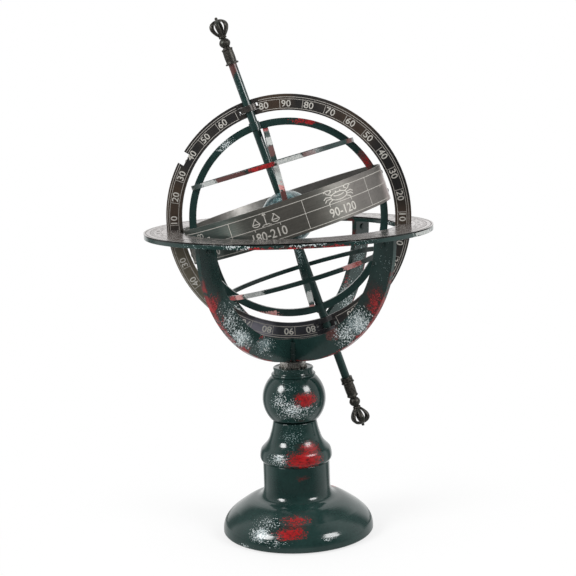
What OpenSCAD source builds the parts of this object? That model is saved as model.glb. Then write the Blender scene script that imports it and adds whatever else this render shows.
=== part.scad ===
// Armillary sphere on a turned pedestal.
// Millimetres, +Z up, origin at the centre of the underside of the base.
// X runs along the plane of the meridian ring, Y is square to it.
// The top of the polar axis leans towards -X.

/* [Pedestal] */
// Radius of the foot of the dished base
base_r = 60; // [59.6:0.1:60.6]
// Radius of the plain drum above the dish
drum_r = 26.55; // [26:0.05:27]
// Height of the top of the drum
drum_top_z = 57.2; // [56.8:0.1:57.5]
// Radius of the collar at the foot of the bell
collar_r = 28.6; // [28.2:0.1:29.2]
// Height of the top of the bell, where the ball starts
bell_top_z = 89.8; // [89.4:0.1:90.2]
// Radius of the ball
ball_r = 25.1; // [24.6:0.1:25.6]
// Height of the top rim of the neck cap
neck_top_z = 132.8; // [132.4:0.1:133]
// Wall thickness of the spun shells
wall = 1.8; // [1.4:0.1:2]

/* [Cradle] */
// Thickness of the two crescent plates
cradle_t = 4.1; // [3.8:0.1:4.3]
// Inner radius of the crescents
cradle_ri = 84.3; // [84.1:0.1:84.6]
// Outer radius of the crescents
cradle_ro = 102.0; // [101.6:0.1:102.3]
// Compass angle of the first crescent plate, from X
cradle_turn = -36; // [-40:1:-32]

/* [Horizon] */
// Height of the underside of the horizon ring
horizon_z = 239.8; // [239.6:0.1:240]
// Outer radius of the horizon ring
horizon_ro = 112.5; // [111:0.5:114]
// Inner radius of the horizon ring
horizon_ri = 84.4; // [84.2:0.1:84.8]
// Thickness of the enamelled ring
horizon_t = 3.0; // [2.8:0.1:3.2]
// Thickness of the dial plate on top of it
dial_t = 1.1; // [0.9:0.1:1.3]

/* [Meridian] */
// Height of the centre of the sphere
centre_z = 251.2; // [251:0.1:251.4]
// Outer radius of the meridian ring
meridian_ro = 95.9; // [95.6:0.1:96]
// Inner radius of the meridian ring
meridian_ri = 83.4; // [83.2:0.1:83.6]
// Thickness of the meridian ring
meridian_t = 2.0; // [1.8:0.1:2.1]
// Tilt of the polar axis away from vertical
polar_tilt = 18; // [17:0.5:20]
// Radial running clearance of the rod in the formed loops
loop_gap = 0.06; // [0.03:0.01:0.09]

/* [Sphere] */
// Radius of the polar rod
rod_r = 3.25; // [3.1:0.05:3.35]
// Angle by which the outer hoop leans off the rod
cage_lean = 3.0; // [2.5:0.1:3.3]
// Angle by which the inner hoop leans off the rod, which runs beside it
inner_lean = 5.1; // [5.1:0.1:5.6]
// Angle by which the tops of the hoops lean towards +Y
cage_back = 1.4; // [0.8:0.1:1.8]
// Turn of the hoops about the polar axis
cage_turn = 5.5; // [0:0.5:8]
// Outer radius of the outer colure hoop
colure_ro = 77.5; // [77.3:0.1:77.7]
// Radial depth of the hoop bars
colure_d = 5.5; // [5.4:0.1:5.6]
// Width of the hoop bars
colure_w = 4.3; // [4.1:0.1:4.5]
// Outer radius of each tropic ring
tropic_r = 65.7; // [65.4:0.1:65.9]
// Height of the upper tropic ring above the centre
tropic_h = 43.6; // [43.4:0.1:43.9]
// Depth of the lower tropic ring below the centre
low_tropic_h = 45.3; // [45:0.1:45.5]
// Outer radius of the zodiac band
band_r = 80.5; // [80.3:0.1:80.6]
// Width of the zodiac band
band_w = 27.5; // [27:0.1:28]
// Shift of the zodiac band up the axis
band_rise = 3.1; // [2.7:0.1:3.3]
// Angle by which the zodiac band leans off the rod
band_lean = 1.3; // [1:0.1:1.6]
// Angle by which the top of the zodiac band's axis leans towards +Y
band_back = 0.9; // [0.6:0.1:1.2]
// Thickness of the zodiac band
band_t = 0.9; // [0.8:0.1:1]
// Radius of the small central globe
globe_r = 21; // [20:0.5:22]

/* [Hidden] */
$fn = 96;

green = [0.12, 0.23, 0.21];
bronze = [0.20, 0.19, 0.17];
dark_grey = [0.30, 0.28, 0.26];
pale = [0.66, 0.62, 0.60];
steel = [0.60, 0.60, 0.58];
teal = [0.22, 0.40, 0.41];
brown = [0.45, 0.35, 0.25];
black = [0.1, 0.12, 0.1];

fit = 0.04;         // slack between parts that are fixed together
tie_r = 3;
tie_hole_r = tie_r + 0.2;
disc_t = 2;         // discs that close the shells
foot_z = 0.4;       // bottom edge of the base shell
felt_t = 1.5;
ball_z = 107.6;     // centre of the ball
ball_low_r = 16.4;  // radii where the ball is cut flat
ball_high_r = 17.3;
ball_top_z = ball_z + ball_r * sin(acos(ball_high_r / ball_r));

// Cubic Bezier curve through four control points
function bezier(start, lead, trail, end, steps) = [for (i = [0:steps])
    let (t = i / steps, u = 1 - t)
    u*u*u*start + 3*u*u*t*lead + 3*u*t*t*trail + t*t*t*end];
function arc(centre, radius, from, to, steps) = [for (i = [0:steps])
    let (a = from + (to - from) * i / steps)
    centre + radius * [cos(a), sin(a)]];
function reversed(path) = [for (i = [len(path) - 1:-1:0]) path[i]];
// Path reflected in the axis and reversed, without its last few points
function mirrored(path, drop = 0) =
    [for (i = [len(path) - 1 - drop:-1:0]) [-path[i][0], path[i][1]]];
// Unit normal to the right of the direction of travel at point i
function right_normal(path, i) =
    let (run = path[min(i + 1, len(path) - 1)] - path[max(i - 1, 0)])
    [run[1], -run[0]] / norm(run);
// Inside face of a shell, running down: the outer line moved in by the wall,
// without its first two and its last few points
function inner_wall(line, drop) =
    let (part = [for (i = [2:len(line) - 1 - drop]) line[i]])
    [for (i = [len(part) - 1:-1:0]) part[i] - wall * right_normal(part, i)];

module lift(z) { translate([0, 0, z]) children(); }
// Frame with Z up the polar axis, and its twin with Z down the axis
module polar() { lift(centre_z) rotate([0, -polar_tilt, 0]) children(); }
module lower_polar() { polar() rotate([0, 180, 0]) children(); }
module both_ends() { for (a = [0, 180]) rotate([0, a, 0]) children(); }
module ring(outer, inner, h) {
    difference() {
        cylinder(r = outer, h = h, center = true);
        cylinder(r = inner, h = h + 2, center = true);
    }
}
module hex_nut(across_flats, h, bore) {
    difference() {
        cylinder(r = across_flats / sqrt(3), h = h, $fn = 6);
        lift(-1) cylinder(r = bore, h = h + 2, $fn = 48);
    }
}
module tie_hole(z, h) { lift(z) cylinder(r = tie_hole_r, h = h, $fn = 48); }

// ---------- pedestal ----------
// Outlines are [radius, height].
drum_inside_z = 36.4;  // foot of the straight wall inside the drum

// Outer line of the base, from the foot up to the drum
function base_line() = concat(
    [[base_r - 0.7, foot_z], [base_r, 1.4]],
    bezier([base_r, 3], [base_r - 0.1, 9.5], [base_r - 3.2, 13.6], [50, 18.9], 12),
    bezier([48, 20.3], [42, 24.6], [38.2, 27], [34.2, 27.9], 9),
    bezier([33, 28.15], [29, 29], [drum_r, 31.6], [drum_r, 37], 9));
module base_shell() {
    line = base_line();
    color(green) difference() {
        rotate_extrude($fn = 128) polygon(concat(
            line,
            [[drum_r, drum_top_z - 0.6], [drum_r - 0.6, drum_top_z],
             [0, drum_top_z], [0, drum_top_z - disc_t],
             [drum_r - wall, drum_top_z - disc_t], [drum_r - wall, drum_inside_z]],
            inner_wall(line, 1),
            [[base_r - wall - 0.05, foot_z]]));
        tie_hole(drum_top_z - 5, 8);
    }
}
module base_board() {
    color(brown) lift(felt_t) cylinder(r = base_r - wall - 0.15, h = 2.5, $fn = 128);
}
module felt_pad() {
    color(black) cylinder(r = base_r - 3.2, h = felt_t, $fn = 128);
}

// Outer line of the bell: collar, shoulder and concave flare
collar_foot_r = collar_r - 1.6;
function bell_line() = concat(
    [[collar_foot_r, drum_top_z], [collar_r - 0.4, drum_top_z + 1.6]],
    bezier([collar_r, drum_top_z + 2.9], [collar_r + 0.2, 61.6], [collar_r, 63.9],
        [collar_r - 0.7, 66.2], 6),
    bezier([collar_r - 1.3, 67.4], [collar_r - 3.8, 70.2], [22.0, 71.8], [20.3, 77.2], 8),
    bezier([19.9, 78.7], [18.8, 81.6], [18.0, 85.2], [17.5, bell_top_z - 1.4], 6),
    [[17.3, bell_top_z - 0.5], [16.6, bell_top_z]]);
module bell_shell() {
    line = bell_line();
    color(green) difference() {
        rotate_extrude($fn = 128) polygon(concat(
            [[collar_foot_r - wall, drum_top_z]],
            line,
            [[0, bell_top_z], [0, bell_top_z - disc_t], [15.4, bell_top_z - disc_t]],
            inner_wall(line, 3)));
        tie_hole(bell_top_z - 5, 8);
    }
}

// Hollow sphere cut flat top and bottom, closed by discs
module ball_shell() {
    low_angle = -acos(ball_low_r / ball_r);
    high_angle = acos(ball_high_r / ball_r);
    outer = arc([0, ball_z], ball_r, low_angle, high_angle, 30);
    inner = arc([0, ball_z], ball_r - wall, low_angle + 5, high_angle - 5, 30);
    floor_z = bell_top_z + disc_t;
    ceiling_z = ball_top_z - disc_t;
    color(green) difference() {
        rotate_extrude($fn = 128) polygon(concat(
            [[0, bell_top_z], [14.6, bell_top_z], [15.4, bell_top_z + 0.7]],
            [for (p = outer) if (p[1] > bell_top_z + 0.8 && p[1] < ball_top_z - 0.02) p],
            [[16.9, ball_top_z], [0, ball_top_z], [0, ceiling_z]],
            [for (p = reversed(inner)) if (p[1] < ceiling_z && p[1] > floor_z) p],
            [[0, floor_z]]));
        tie_hole(bell_top_z - 1, 50);
    }
}

// Bead, short wall, rolled rim and a sunk seat for the washer
washer_z = neck_top_z - 0.5;
module neck_cap() {
    color(green) difference() {
        rotate_extrude($fn = 128) polygon(concat(
            [[0, ball_top_z], [16.6, ball_top_z]],
            arc([16.5, ball_top_z + 1.1], 1.1, -80, 70, 8),
            [[16.0, ball_top_z + 2.3], [15.6, ball_top_z + 3.4], [15.7, neck_top_z - 1.5]],
            arc([15.0, neck_top_z - 1.0], 1.0, -15, 120, 8),
            [[13.8, neck_top_z - 0.6], [12.6, washer_z], [0, washer_z]]));
        tie_hole(ball_top_z - 1, 20);
        // hollow underside
        lift(ball_top_z - 1) cylinder(r = 11.5, h = washer_z - disc_t - ball_top_z + 1);
    }
}

// ---------- tie rod and its nuts ----------
washer_t = 1.2;
nut_z = washer_z + washer_t;
nut_h = horizon_z - cradle_ro - 0.5 - nut_z;
head_z = nut_z + nut_h + 0.02;
head_top_z = 153;
shank_z = drum_top_z - 12;
low_washer_t = 1.6;
low_washer_z = drum_top_z - disc_t - low_washer_t;
low_nut_h = 5;

// Shank with a tapered tip; crossed slots in the head take both crescents
module tie_rod() {
    color(bronze) difference() {
        union() {
            lift(shank_z) cylinder(r = tie_r, h = head_z - shank_z + 0.5, $fn = 48);
            lift(head_z) cylinder(r = 5, h = head_top_z - head_z, $fn = 64);
            lift(shank_z - 1) cylinder(r1 = tie_r - 0.8, r2 = tie_r, h = 1, $fn = 48);
        }
        for (a = [0, 90])
            rotate([0, 0, cradle_turn + a])
                translate([-8, -cradle_t / 2 - fit, horizon_z - cradle_ro - fit])
                    cube([16, cradle_t + 2 * fit, 40]);
    }
}
module lower_tie_washer() {
    color(steel) lift(low_washer_z) difference() {
        cylinder(r = 9, h = low_washer_t, $fn = 64);
        tie_hole(-1, 4);
    }
}
module lower_tie_nut() {
    color(steel) lift(low_washer_z - low_nut_h) hex_nut(10, low_nut_h, tie_r + fit);
}
module serrated_washer() {
    teeth = 18;
    tooth_w = 1.5;
    color(steel) lift(washer_z) difference() {
        union() {
            cylinder(r = 9.6, h = washer_t, $fn = 96);
            for (i = [0:teeth - 1])
                rotate([0, 0, i * 360 / teeth])
                    translate([8.8, -tooth_w / 2, 0]) cube([2.4, tooth_w, washer_t]);
        }
        tie_hole(-1, 4);
    }
}
module clamp_nut() {
    color(steel) lift(nut_z) rotate([0, 0, 12]) hex_nut(18, nut_h, tie_r + fit);
}

// ---------- cradle ----------
screw_r = 1.5;
screw_at = 92.4;  // distance of the lug screws from the Z axis
screw_z = horizon_z - 5;
lap_z = horizon_z - (cradle_ri + cradle_ro) / 2;
lap_h = 20;       // height of the half-lap cutter

module screw_hole() { rotate([90, 0, 0]) cylinder(r = screw_r, h = 20, center = true, $fn = 32); }
module crescent_blank() {
    lift(horizon_z) rotate([90, 0, 0]) linear_extrude(height = cradle_t, center = true)
        difference() {
            circle(r = cradle_ro, $fn = 160);
            circle(r = cradle_ri, $fn = 160);
            translate([-150, 0]) square([300, 150]);
        }
}
// Crescent turned about Z, with its half-lap cut from above or below
module crescent(turn, lap_above) {
    difference() {
        rotate([0, 0, turn]) difference() {
            crescent_blank();
            translate([-cradle_t / 2 - fit, -10,
                       lap_above ? lap_z - fit / 2 : lap_z - lap_h + fit / 2])
                cube([cradle_t + 2 * fit, 20, lap_h]);
            for (side = [-1, 1])
                translate([side * screw_at, 0, screw_z]) screw_hole();
        }
        // groove for the meridian ring
        lift(centre_z) rotate([90, 0, 0])
            cylinder(r = meridian_ro + 0.4, h = meridian_t + 0.4, center = true, $fn = 160);
    }
}
module cradle_crescent_front() { color(green) crescent(cradle_turn, true); }
module cradle_crescent_rear() { color(green) crescent(cradle_turn + 90, false); }

// ---------- horizon ----------
slot_w = meridian_t + 0.4;  // slots that let the meridian ring slide round
slot_r = meridian_ro + 0.7;
lug_w = 8;
lug_t = 1.8;
lug_nut_h = 2.2;
lug_turn = [0, 0, 180, 180];  // per arm, so that every lug is on the arm's +Y face

// Frame at the screw of each arm, with the lug on the local +Y side
module at_screws() {
    for (k = [0:3])
        rotate([0, 0, cradle_turn + 90 * k])
            translate([screw_at, 0, screw_z])
                rotate([0, 0, lug_turn[k]]) children();
}
module slotted_ring(z, outer, h) {
    slot_len = slot_r - horizon_ri + 3;
    difference() {
        lift(z) difference() {
            cylinder(r = outer, h = h, $fn = 180);
            lift(-1) cylinder(r = horizon_ri, h = h + 2, $fn = 180);
        }
        for (x = [-slot_r, horizon_ri - 3])
            translate([x, -slot_w / 2, z - 1]) cube([slot_len, slot_w, h + 2]);
    }
}
module horizon_ring() {
    color(green) union() {
        slotted_ring(horizon_z, horizon_ro, horizon_t);
        at_screws() difference() {
            translate([-lug_w / 2, cradle_t / 2 + fit, -4]) cube([lug_w, lug_t, 9.5]);
            screw_hole();
        }
    }
}
module horizon_dial() {
    color(pale) slotted_ring(horizon_z + horizon_t, horizon_ro + 0.1, dial_t);
}
// Tapered heads on the -Y faces of the arms, shanks through arms and lugs
module lug_screws() {
    color(green) at_screws() rotate([90, 0, 0]) {
        lift(cradle_t / 2) cylinder(r1 = 2.6, r2 = 1.9, h = 1.1, $fn = 32);
        lift(-cradle_t / 2 - 5.2) cylinder(r = screw_r - fit, h = cradle_t + 5.4, $fn = 32);
    }
}
module lug_nuts() {
    color(bronze) at_screws() rotate([90, 0, 0])
        lift(-cradle_t / 2 - lug_t - 0.1 - lug_nut_h - fit) hex_nut(5, lug_nut_h, screw_r);
}

// ---------- meridian ----------
// The straps at each pole, as [start, end] along the rod
inner_strap = [80, 87.2];
middle_strap = [87.32, 91.98];
outer_strap = [92.1, 100];
foot_notch = [1.9, 6, 2.5];  // cut from the end of a foot of the middle strap

// Cross-section arched towards +Y over the rod, with flat feet in the ring's plane
module strap_section() {
    half_t = meridian_t / 2 - 0.03;
    arch_r = rod_r + loop_gap + meridian_t * 0.7;
    right = concat(
        [[2.4, -0.35], [4.9, -half_t], [8.4, -half_t], [8.4, half_t], [5.7, half_t]],
        arc([0, 0], arch_r, 28, 90, 7));
    polygon(concat(right, mirrored(right, 1)));
}
module strap(span, turn = 0) {
    lift(span[0]) rotate([0, 0, turn])
        linear_extrude(height = span[1] - span[0]) strap_section();
}
// Annulus with a window at each pole and a notch in its outer edge
module meridian_flat() {
    difference() {
        rotate([90, 0, 0]) ring(meridian_ro, meridian_ri, meridian_t, $fn = 180);
        both_ends() translate([-8, -3, 70]) cube([16, 6, 50]);
        rotate([0, polar_tilt - 58.9, 0])
            translate([-5, -3, meridian_ro - 5]) cube([10, 6, 12]);
    }
}
// The middle strap arches towards -Y and the other two towards +Y
module pole_loop() {
    difference() {
        union() {
            difference() {
                strap(inner_strap);
                rotate([90, 0, 0])
                    cylinder(r = meridian_ri + 0.01, h = 16, center = true, $fn = 180);
            }
            difference() {
                strap(middle_strap, 180);
                translate([-8.5, -3, 87.0]) cube(foot_notch);
                translate([6.6, -3, 89.6]) cube(foot_notch);
            }
            intersection() {
                strap(outer_strap);
                rotate([90, 0, 0])
                    cylinder(r = meridian_ro - 0.01, h = 16, center = true, $fn = 180);
            }
        }
        lift(75) cylinder(r = rod_r + loop_gap, h = 30, $fn = 64);
    }
}
module meridian_ring() {
    color(dark_grey) polar() union() {
        meridian_flat();
        pole_loop();
        // at the lower pole the arches face the other way
        rotate([180, 0, 0]) pole_loop();
    }
}

// ---------- rod and finials ----------
upper_socket_at = 127;    // distances from the centre along the axis
lower_socket_at = 139.4;
rod_in_socket = 10;
flange_drop = 1.1;        // flange below the start of the socket
finial_lift = 11.42;      // finial above the start of the socket
collar_h = 3.6;

module polar_rod() {
    below = lower_socket_at + rod_in_socket;
    above = upper_socket_at + rod_in_socket;
    color(green) polar() lift(-below) cylinder(r = rod_r, h = below + above, $fn = 64);
}
// Thin flange, sleeve and end lip, with a blind bore for the end of the rod
module socket() {
    difference() {
        union() {
            lift(-flange_drop) cylinder(r = 5.2, h = 1.2, $fn = 64);
            cylinder(r = 4.25, h = 11.2, $fn = 64);
            lift(10.2) cylinder(r = 4.45, h = 1.2, $fn = 64);
        }
        lift(-2) cylinder(r = rod_r + fit, h = 12.2, $fn = 64);
    }
}
// One closed rib loop of the cage, wide near the tip and drawn in at the root
module cage_loop() {
    height = 13.4;
    half_w = 6.9;
    rib = 1.9;
    hole_w = half_w - rib;
    hole_top = height - rib;
    outer = concat(
        bezier([0, 0], [2.2, 0.3], [half_w * 0.55, 3.0], [half_w * 0.86, 6.4], 8),
        bezier([half_w * 0.9, 6.9], [half_w + 0.6, 9.4], [half_w * 0.72, height],
            [0, height], 10));
    inner = concat(
        bezier([0, 2.2], [1.4, 2.4], [half_w * 0.42, 4.6], [hole_w * 0.84, 7.2], 8),
        bezier([hole_w * 0.88, 7.7], [hole_w + 0.5, 9.2], [hole_w * 0.7, hole_top],
            [0, hole_top], 8));
    rotate([90, 0, 0]) linear_extrude(height = 1.7, center = true)
        difference() {
            polygon(concat(outer, mirrored(outer)));
            polygon(concat(inner, mirrored(inner)));
        }
}
// Neck, ball, cone, three crossed loops, stem and tip bead
module finial() {
    cylinder(r = 2.6, h = 3, $fn = 32);
    lift(4.3) sphere(r = 4.2, $fn = 48);
    lift(7.4) cylinder(r1 = 3.0, r2 = 2.0, h = 3, $fn = 32);
    lift(8.6) for (a = [0, 60, 120]) rotate([0, 0, a]) cage_loop();
    lift(20.4) cylinder(r = 1.1, h = 4.0, $fn = 24);
    lift(23.6) sphere(r = 1.35, $fn = 24);
}
module upper_finial_socket() { color(bronze) polar() lift(upper_socket_at) socket(); }
module upper_finial_cage() {
    color(bronze) polar() lift(upper_socket_at + finial_lift) finial();
}
module lower_finial_socket() { color(bronze) lower_polar() lift(lower_socket_at) socket(); }
module lower_finial_cage() {
    color(bronze) lower_polar() lift(lower_socket_at + finial_lift) finial();
}
module lower_lock_collar() {
    color(bronze) lower_polar() lift(lower_socket_at - flange_drop - fit - collar_h)
        difference() {
            union() {
                cylinder(r = 4.7, h = 3.0, $fn = 64);
                lift(2.9) cylinder(r1 = 4.7, r2 = 4.2, h = collar_h - 2.9, $fn = 64);
            }
            lift(-1) cylinder(r = rod_r + fit, h = 6, $fn = 64);
        }
}

// ---------- hoops ----------
hoop_off = 0.5;      // shift of the hoops along X, off the rod's centre line
inner_ro = colure_ro - colure_d - 0.06;
boss_start = 72.2;   // bosses of the outer hoop, along the rod
boss_end = 78.5;
grub_r = 1.0;
grub_at = 74.7;      // grub screws, along the rod
rivet_r = 1.0;
rivet_offset = 7.5;  // rivets above and below the middle of the band

module hoop_frame(lean, turn) {
    translate([hoop_off, 0, centre_z])
        rotate([-cage_back, 0, 0]) rotate([0, lean - polar_tilt, 0])
            rotate([0, 0, turn]) children();
}
module outer_hoop_frame() { hoop_frame(cage_lean, cage_turn) children(); }
module band_frame() {
    lift(centre_z) rotate([-band_back, 0, 0]) rotate([0, band_lean - polar_tilt, 0])
        rotate([0, 0, cage_turn]) children();
}
module tropic_bar(z, slack = 0) {
    outer_hoop_frame() lift(z)
        ring(tropic_r + slack, tropic_r - 3.0 - slack, 3.4 + 2 * slack, $fn = 160);
}
// The two rivet axes on one side of the band, Z outwards
module at_rivets(side) {
    for (h = [-rivet_offset, rivet_offset])
        rotate([0, 0, side > 0 ? 0 : 180]) lift(band_rise + h) rotate([0, 90, 0]) children();
}

module outer_colure_hoop() {
    color(green) difference() {
        union() {
            outer_hoop_frame() rotate([90, 0, 0])
                ring(colure_ro, colure_ro - colure_d, colure_w, $fn = 160);
            polar() both_ends() lift(boss_start)
                cylinder(r = 4.2, h = boss_end - boss_start, $fn = 64);
        }
        polar() cylinder(r = rod_r + fit, h = 180, center = true, $fn = 64);
        tropic_bar(tropic_h, fit);
        tropic_bar(-low_tropic_h, fit);
        band_frame() for (side = [1, -1])
            at_rivets(side) lift(colure_ro - 3) cylinder(r = rivet_r + fit, h = 10, $fn = 32);
        polar() both_ends() lift(grub_at) rotate([-90, 0, 0])
            cylinder(r = grub_r, h = 12, $fn = 32);
    }
}
// Passes beside the rod and the bosses and crosses inside the outer hoop
module inner_colure_hoop() {
    color(green) hoop_frame(inner_lean, cage_turn + 0.4) rotate([0, 90, 0])
        ring(inner_ro, inner_ro - colure_d + 0.6, colure_w - 0.2, $fn = 160);
}
// Screws on the +Y side that lock the outer hoop to the rod
module pole_grub_screws() {
    color(steel) polar() both_ends() translate([0, rod_r + fit, grub_at])
        rotate([-90, 0, 0]) cylinder(r = grub_r - fit, h = 2.2, $fn = 32);
}
module upper_tropic_ring() { color(green) tropic_bar(tropic_h); }
module lower_tropic_ring() { color(green) tropic_bar(-low_tropic_h); }

module zodiac_band() {
    seam = 0.4;
    color(dark_grey) band_frame() difference() {
        lift(band_rise) ring(band_r, band_r - band_t, band_w, $fn = 160);
        // open seam where the strip meets
        rotate([0, 0, 4]) translate([band_r - 4, -seam / 2, -30]) cube([8, seam, 60]);
        for (side = [1, -1])
            at_rivets(side) cylinder(r = rivet_r + fit, h = 100, $fn = 32);
    }
}
// Shank through the hoop, spacer between hoop and band, head outside the band
module band_rivets() {
    color(bronze) band_frame() for (side = [1, -1]) at_rivets(side) {
        spacer_at = colure_ro + side * hoop_off + 0.06;
        lift(colure_ro - 2.6) cylinder(r = rivet_r, h = band_r - colure_ro + 3.0, $fn = 32);
        lift(spacer_at) cylinder(r = 1.9, h = band_r - band_t - 0.07 - spacer_at, $fn = 32);
        lift(band_r + 0.06) cylinder(r1 = 1.7, r2 = 1.1, h = 0.6, $fn = 32);
    }
}
module central_globe() {
    color(teal) polar() difference() {
        sphere(r = globe_r, $fn = 96);
        cylinder(r = rod_r + fit, h = 60, center = true, $fn = 64);
    }
}

base_shell();
base_board();
felt_pad();
bell_shell();
ball_shell();
neck_cap();
tie_rod();
lower_tie_nut();
lower_tie_washer();
serrated_washer();
clamp_nut();
cradle_crescent_front();
cradle_crescent_rear();
horizon_ring();
horizon_dial();
lug_screws();
lug_nuts();
meridian_ring();
polar_rod();
outer_colure_hoop();
inner_colure_hoop();
pole_grub_screws();
upper_tropic_ring();
lower_tropic_ring();
zodiac_band();
band_rivets();
central_globe();
upper_finial_socket();
upper_finial_cage();
lower_finial_socket();
lower_finial_cage();
lower_lock_collar();
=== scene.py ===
"""Armillary sphere on a turned stand, in dark green enamel, engraved metal and cast bronze.

The object stands on z = 0 with its stem along +Z. Its front faces -Y and its left is -X.
The horizon dial lies flat, the meridian ring stands in the XZ plane, and the polar axis
leans to the left. Sizes are in mm and are scaled to metres when the meshes are made.
"""
import math
import random
from functools import cached_property, lru_cache

import bpy
import bmesh
from mathutils import Matrix, Vector


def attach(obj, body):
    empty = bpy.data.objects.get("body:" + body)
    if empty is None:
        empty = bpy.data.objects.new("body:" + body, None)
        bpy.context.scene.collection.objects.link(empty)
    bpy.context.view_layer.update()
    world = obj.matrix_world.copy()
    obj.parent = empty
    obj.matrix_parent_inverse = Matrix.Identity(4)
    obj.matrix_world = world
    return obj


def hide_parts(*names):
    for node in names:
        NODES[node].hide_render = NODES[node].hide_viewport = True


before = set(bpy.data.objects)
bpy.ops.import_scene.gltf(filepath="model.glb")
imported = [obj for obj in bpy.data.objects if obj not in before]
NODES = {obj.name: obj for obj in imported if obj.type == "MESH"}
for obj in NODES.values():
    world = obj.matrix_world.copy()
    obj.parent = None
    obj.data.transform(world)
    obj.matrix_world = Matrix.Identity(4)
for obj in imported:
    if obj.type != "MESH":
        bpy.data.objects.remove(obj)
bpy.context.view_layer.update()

SCENE = bpy.context.scene
random.seed(7)

# ------------------------------------------------------------------ driving dimensions, mm
MM = 0.001
CENTRE_Z = 251.2
SPHERE_CENTRE = (0, 0, CENTRE_Z)
POLAR_TILT = 18.0          # lean of the polar axis towards -X, degrees
BAND_TILT = 16.7           # lean of the zodiac band's axis, degrees
DIAL_TOP = 243.9           # upper face of the horizon dial
RING_HALF = 1.0            # half the thickness of the meridian ring
PRINT_FOOT = -0.02         # printing starts just under the surface it lies on
PRINT_TOP = 0.05           # and stands this far proud of it
HIGH_PRINT = 0.08          # lines and numbers of the curved band
DIAL_PRINT = 0.04


def rot_x(degrees):
    return Matrix.Rotation(math.radians(degrees), 4, "X")


def rot_y(degrees):
    return Matrix.Rotation(math.radians(degrees), 4, "Y")


def rot_z(degrees):
    return Matrix.Rotation(math.radians(degrees), 4, "Z")


# frames with their origin at the sphere's centre
CENTRE = Matrix.Translation(SPHERE_CENTRE)
POLAR = CENTRE @ rot_y(-POLAR_TILT)
BAND_FRAME = CENTRE @ rot_x(-0.9) @ rot_y(-BAND_TILT) @ rot_z(5.5)


# ------------------------------------------------------------------ node trees
class Nodes:
    """Short calls for building a node tree. Every input takes a socket or a value."""

    def __init__(self, tree):
        self.tree = tree
        tree.nodes.clear()

    def new(self, kind, **settings):
        node = self.tree.nodes.new("ShaderNode" + kind)
        for setting, value in settings.items():
            setattr(node, setting, value)
        return node

    def feed(self, socket, value):
        """Link a socket or set a value. A colour of three numbers gets an alpha of 1."""
        if isinstance(value, bpy.types.NodeSocket):
            self.tree.links.new(value, socket)
        elif isinstance(value, tuple):
            missing = len(socket.default_value) - len(value)
            socket.default_value = value + (1.0,) * missing
        elif value is not None:
            socket.default_value = value

    def fill(self, node, values):
        """values: {input index or name: socket or value}."""
        for key, value in values.items():
            self.feed(node.inputs[key], value)

    def math(self, operation, *operands):
        node = self.new("Math", operation=operation)
        self.fill(node, dict(enumerate(operands)))
        return node.outputs[0]

    def add(self, a, b):
        return self.math("ADD", a, b)

    def subtract(self, a, b):
        return self.math("SUBTRACT", a, b)

    def multiply(self, a, b):
        return self.math("MULTIPLY", a, b)

    def maximum(self, a, b):
        return self.math("MAXIMUM", a, b)

    def hypotenuse(self, a, b):
        return self.math("SQRT", self.add(self.multiply(a, a), self.multiply(b, b)))

    def vector(self, operation, *operands, scale=None):
        node = self.new("VectorMath", operation=operation)
        self.fill(node, dict(enumerate(operands)))
        if scale is not None:
            self.feed(node.inputs["Scale"], scale)
        return node.outputs["Value" if operation in ("LENGTH", "DOT_PRODUCT") else "Vector"]

    def split(self, vector):
        node = self.new("SeparateXYZ")
        self.feed(node.inputs[0], vector)
        return node.outputs[0], node.outputs[1], node.outputs[2]

    def join(self, x, y, z):
        node = self.new("CombineXYZ")
        self.fill(node, {0: x, 1: y, 2: z})
        return node.outputs[0]

    def noise(self, vector, scale, detail=2.0, rough=0.5, output="Fac"):
        node = self.new("TexNoise")
        self.fill(node, {"Vector": vector, "Scale": scale, "Detail": detail, "Roughness": rough})
        return node.outputs[output]

    def ramp(self, value, over, to=(0.0, 1.0), smooth=True):
        """Map the range `over` to the range `to`, held at both ends."""
        node = self.new("MapRange", clamp=True)
        node.interpolation_type = "SMOOTHSTEP" if smooth else "LINEAR"
        self.fill(node, {"Value": value, "From Min": over[0], "From Max": over[1],
                         "To Min": to[0], "To Max": to[1]})
        return node.outputs["Result"]

    def mix(self, factor, a, b):
        """Blend from colour a to colour b."""
        node = self.new("Mix", data_type="RGBA", clamp_factor=True)
        first, second = [s for s in node.inputs if s.type == "RGBA"]
        self.feed(node.inputs["Factor"], factor)
        self.feed(first, a)
        self.feed(second, b)
        return [s for s in node.outputs if s.type == "RGBA"][0]

    def mix_shader(self, factor, a, b):
        node = self.new("MixShader")
        self.fill(node, {0: factor, 1: a, 2: b})
        return node.outputs[0]

    def source(self, kind, colour=(1.0, 1.0, 1.0), strength=1.0):
        """An Emission or Background shader."""
        node = self.new(kind)
        self.fill(node, {0: colour, 1: strength})
        return node.outputs[0]

    def near(self, point, centre, radii):
        """1 at the centre of an ellipsoid, 0 on its surface, negative outside."""
        offset = self.vector("SUBTRACT", point, centre)
        offset = self.vector("MULTIPLY", offset, tuple(1.0 / radius for radius in radii))
        return self.subtract(1.0, self.vector("LENGTH", offset))


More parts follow.
